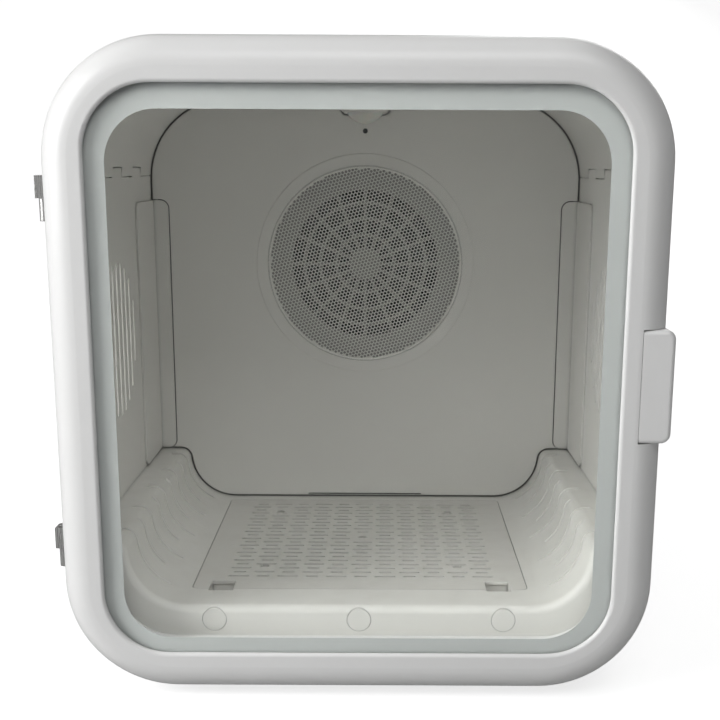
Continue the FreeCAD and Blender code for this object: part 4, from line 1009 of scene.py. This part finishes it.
@dataclass
class PaintedShadeRing:
    """Dark ring dressed as foam behind the fan's duct, around the motor: a sheet of painted shade that keeps
    the view through the fan's holes dark.
    """

    shelf: FinishShelf
    gap: float = 0.4 * MM
    thickness: float = 4.0 * MM
    reach: float = 96.0 * MM
    steps: int = 96

    def build(self) -> bpy.types.Object:
        """Builds the ring behind the duct.

        Returns:
            The ring.
        """
        duct_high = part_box("fan_shroud")[1]
        motor_low, motor_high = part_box("fan_motor")
        middle = (motor_low + motor_high) / 2
        inner = (motor_high.x - motor_low.x) / 2 + self.gap
        front = duct_high.y + self.gap
        rear = front + self.thickness
        loops = []
        for radius, depth in ((inner, front), (self.reach, front), (self.reach, rear), (inner, rear)):
            loops.append([self._point(middle, radius, depth, step) for step in range(self.steps)])
        # Painted shade: a dark sheet in the foam finish, put where the inside of the fan is only in shade.
        foam = loft("fan_painted_shade_ring", loops)
        self.shelf.dress(foam, Slot.FOAM)
        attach(foam, "cabinet")
        log.info("intake foam")
        return foam

    def _point(self, middle: Vector, radius: float, depth: float, step: int) -> Point:
        """Point of a ring about the fan's axis."""
        turn = 2 * math.pi * step / self.steps
        return (middle.x + radius * math.cos(turn), depth, middle.z + radius * math.sin(turn))


@dataclass
class PanelMarks:
    """Plain printed marks on the touch panel: power, fan, warmth, lamp and time."""

    shelf: FinishShelf
    thickness: float = 0.12 * MM
    spacing: float = 22.0 * MM
    size: float = 3.6 * MM
    line: float = 0.7 * MM
    level_gap: float = 0.02 * MM
    pair_shift: float = 4.0 * MM
    warm_shift: float = 2.0 * MM
    warm_pitch: float = 1.9 * MM
    rays: int = 8
    steps: int = 24

    def _arc(self, x: float, y: float, radius: float, start: float, sweep: float) -> list[Point]:
        """Outline of a curved stroke.

        Args:
            x: middle, across.
            y: middle, along.
            radius: of the stroke's middle line.
            start: first angle in degrees.
            sweep: angle it covers in degrees.

        Returns:
            The outline, in the panel's plane.
        """
        points = []
        for side, order in ((1, range(self.steps + 1)), (-1, range(self.steps, -1, -1))):
            reach = radius + side * self.line / 2
            for step in order:
                turn = math.radians(start + sweep * step / self.steps)
                points.append((x + reach * math.cos(turn), y + reach * math.sin(turn), 0.0))
        return points

    def _dot(self, x: float, y: float, radius: float) -> list[Point]:
        """Outline of a round spot.

        Args:
            x: middle, across.
            y: middle, along.
            radius: of the spot.

        Returns:
            The outline, in the panel's plane.
        """
        turns = [2 * math.pi * step / self.steps for step in range(self.steps)]
        return [(x + radius * math.cos(t), y + radius * math.sin(t), 0.0) for t in turns]

    def _bar(self, x: float, y: float, length: float, turn: float) -> list[Point]:
        """Outline of a straight stroke.

        Args:
            x: middle, across.
            y: middle, along.
            length: of the stroke.
            turn: its angle from X.

        Returns:
            The outline, in the panel's plane.
        """
        cos, sin = math.cos(turn), math.sin(turn)
        corners = ((-1, -1), (1, -1), (1, 1), (-1, 1))
        halves = [(sx * length / 2, sy * self.line / 2) for sx, sy in corners]
        return [(x + a * cos - b * sin, y + a * sin + b * cos, 0.0) for a, b in halves]

    def _outlines(self, x: float, y: float) -> list[list[Point]]:
        """All marks about the panel's middle.

        Args:
            x: middle, across.
            y: middle, along.

        Returns:
            Their outlines.
        """
        size = self.size
        upright = math.pi / 2
        power = x - 2 * self.spacing
        shapes = [self._arc(power, y, size * 0.8, 125, 290)]
        shapes.append(self._bar(power, y + size * 0.75, size * 0.9, upright))
        fan = x - self.spacing
        shapes.append(self._dot(fan, y, size * 0.2))
        shapes += [self._arc(fan, y, size * 0.65, 120 * n, 80) for n in range(3)]
        less = x - self.pair_shift
        shapes.append(self._bar(less - size, y, size * 1.1, 0.0))
        more = x + self.pair_shift + size
        shapes.append(self._bar(more, y, size * 1.1, 0.0))
        shapes += [self._bar(more, y + side * size * 0.37, size * 0.34, upright) for side in (-1, 1)]
        warm = x + self.spacing + self.warm_shift
        shapes += [self._bar(warm + shift * self.warm_pitch, y, size * 1.3, upright) for shift in (-1, 0, 1)]
        lamp = x + 2 * self.spacing
        shapes.append(self._arc(lamp, y, size * 0.45, 0, 359))
        for number in range(self.rays):
            turn = 2 * math.pi * number / self.rays
            ray_x = lamp + size * 0.9 * math.cos(turn)
            ray_y = y + size * 0.9 * math.sin(turn)
            shapes.append(self._bar(ray_x, ray_y, size * 0.3, turn))
        return shapes

    def build(self) -> bpy.types.Object:
        """Builds every mark as one thin printed piece.

        Returns:
            The marks.
        """
        low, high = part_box("control_panel")
        level = high.z + self.level_gap
        points = []
        faces = []
        for outline in self._outlines((low.x + high.x) / 2, (low.y + high.y) / 2):
            first = len(points)
            count = len(outline)
            points += [(x, y, level) for x, y, _ in outline]
            points += [(x, y, level + self.thickness) for x, y, _ in outline]
            faces.append(tuple(range(first + count - 1, first - 1, -1)))
            faces.append(tuple(range(first + count, first + 2 * count)))
            for place in range(count):
                nxt = (place + 1) % count
                faces.append((first + place, first + nxt, first + count + nxt, first + count + place))
        marks = new_piece("panel_printed_marks", points, faces)
        self.shelf.dress(marks, Slot.PANEL)
        marks.data.materials.clear()
        ink = Finish(
            "panel_ink", (0.72, 0.73, 0.74), (0.68, 0.69, 0.70),
            gloss=0.5, grain_depth=0.000002, wear=0.0, dust=0.0,
        )
        marks.data.materials.append(ink.material(self.shelf.effects))
        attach(marks, "cabinet")
        log.info("panel marks")
        return marks


# ------------------------------------------------------------------------ studio
@dataclass
class Studio:
    """Pale floor, soft lamps and the camera."""

    floor_tone: Colour = (0.50, 0.50, 0.50)
    floor_glow: float = 0.74
    world_strength: float = 0.15
    seen_through: float = 0.9
    floor_reach: float = 7.0
    bend_start: float = 1.2
    bend_radius: float = 1.0
    bend_steps: int = 12
    wall_top: float = 4.0
    middle: Point = (0.0, 0.0, 0.24)
    eye: Point = (0.01697, -1.01435, 0.39546)
    pitch: float = math.radians(12.52)
    roll: float = math.radians(0.26)
    lens: float = 57.16
    shift: tuple[float, float] = (-0.030, 0.0833)

    def _floor(self) -> None:
        """Lays a large pale floor that curves up at the back."""
        bend = self.bend_radius
        profile = [(-self.floor_reach, 0.0), (self.bend_start, 0.0)]
        for step in range(1, self.bend_steps + 1):
            turn = math.radians(90 * step / self.bend_steps)
            profile.append((self.bend_start + bend * math.sin(turn), bend - bend * math.cos(turn)))
        profile.append((self.bend_start + bend, self.wall_top))
        points = [(side * self.floor_reach, y, z) for y, z in profile for side in (-1, 1)]
        faces = [(2 * n, 2 * n + 1, 2 * n + 3, 2 * n + 2) for n in range(len(profile) - 1)]
        floor = new_piece("studio_floor", points, faces, smooth=True)
        made = bpy.data.materials.new("studio_paper")
        made.use_nodes = True
        shader = made.node_tree.nodes["Principled BSDF"]
        shader.inputs["Base Color"].default_value = (*self.floor_tone, 1)
        shader.inputs["Roughness"].default_value = 0.9
        graph = Graph(made.node_tree)
        shader.inputs["Emission Color"].default_value = (1.0, 1.0, 1.0, 1)
        seen = graph.node("ShaderNodeLightPath").outputs["Is Camera Ray"]
        graph.link(graph.span(seen, 0.0, 1.0, 0.0, self.floor_glow), shader.inputs["Emission Strength"])
        even = graph.node("ShaderNodeEmission")
        even.inputs["Strength"].default_value = self.world_strength
        path = graph.node("ShaderNodeLightPath")
        mirrored = graph.math("GREATER_THAN", path.outputs["Glossy Depth"], 0.5)
        first = graph.math("LESS_THAN", path.outputs["Diffuse Depth"], 0.5)
        mix = graph.node("ShaderNodeMixShader")
        graph.link(graph.math("MULTIPLY", mirrored, first), mix.inputs[0])
        graph.link(shader.outputs[0], mix.inputs[1])
        graph.link(even.outputs[0], mix.inputs[2])
        graph.link(mix.outputs[0], made.node_tree.nodes["Material Output"].inputs["Surface"])
        floor.data.materials.append(made)

    def _lamp(self, name: str, place: Point, size: tuple[float, float], watts: float) -> None:
        """Adds a soft rectangular lamp that faces the object and stays out of view.

        Args:
            name: the lamp's name.
            place: where it hangs.
            size: width and height.
            watts: its power.
        """
        data = bpy.data.lights.new(name, "AREA")
        data.shape = "RECTANGLE"
        data.size, data.size_y = size
        data.energy = watts
        lamp = bpy.data.objects.new(name, data)
        lamp.location = place
        lamp.rotation_euler = (Vector(self.middle) - Vector(place)).to_track_quat("-Z", "Y").to_euler()
        lamp.visible_camera = False
        bpy.context.scene.collection.objects.link(lamp)

    def _world(self) -> None:
        """Sets an even pale surround."""
        world = bpy.data.worlds.new("pale_room")
        world.use_nodes = True
        graph = Graph(world.node_tree)
        back = world.node_tree.nodes["Background"]
        back.inputs["Color"].default_value = (1.0, 1.0, 1.0, 1)
        path = graph.node("ShaderNodeLightPath")
        bounces = graph.math("ADD", path.outputs["Diffuse Depth"], path.outputs["Glossy Depth"])
        straight = graph.math("LESS_THAN", bounces, 0.5)
        through = graph.math("MULTIPLY", path.outputs["Is Transmission Ray"], straight)
        through = graph.math("MULTIPLY", through, self.seen_through)
        seen = graph.math("MAXIMUM", path.outputs["Is Camera Ray"], through)
        graph.link(graph.math("MAXIMUM", seen, self.world_strength), back.inputs["Strength"])
        bpy.context.scene.world = world

    def _camera(self) -> None:
        """Places the camera in front, a little above the middle."""
        data = bpy.data.cameras.new("front_camera")
        data.sensor_width = 36.0
        data.lens = self.lens
        data.shift_x, data.shift_y = self.shift
        data.clip_start = 0.05
        camera = bpy.data.objects.new("front_camera", data)
        ahead = Vector((0.0, math.cos(self.pitch), -math.sin(self.pitch)))
        right = Vector((1.0, 0.0, 0.0))
        up = right.cross(ahead)
        tilted_right = right * math.cos(self.roll) + up * math.sin(self.roll)
        tilted_up = tilted_right.cross(ahead)
        turn = Matrix((tilted_right, tilted_up, -ahead)).transposed()
        camera.matrix_world = Matrix.Translation(Vector(self.eye)) @ turn.to_4x4()
        bpy.context.scene.collection.objects.link(camera)
        bpy.context.scene.camera = camera

    def build(self) -> None:
        """Sets the whole studio."""
        self._floor()
        self._world()
        self._lamp("key_left", (-1.75, -0.95, 0.95), (1.3, 1.3), 37.0)
        self._lamp("fill_front", (0.3, -1.9, 2.1), (1.6, 1.0), 14.0)
        self._lamp("rear_soft", (0.8, 1.7, 1.5), (1.2, 1.2), 14.0)
        self._lamp("top_soft", (0.0, 0.3, 2.4), (2.0, 2.0), 4.0)
        self._camera()
        bpy.context.scene.view_settings.view_transform = "Standard"
        log.info("studio set")


def main() -> None:
    """Builds the looks in order."""
    logging.basicConfig(level=logging.INFO, format="%(name)s: %(message)s")
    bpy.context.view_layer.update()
    shelf = FinishShelf()
    CadFinisher(shelf).build()
    FanDisc(shelf).build()
    WindowBand(shelf).build()
    PaintedShadeRing(shelf).build()
    PanelMarks(shelf).build()
    Studio().build()


if __name__ == "__main__":
    main()
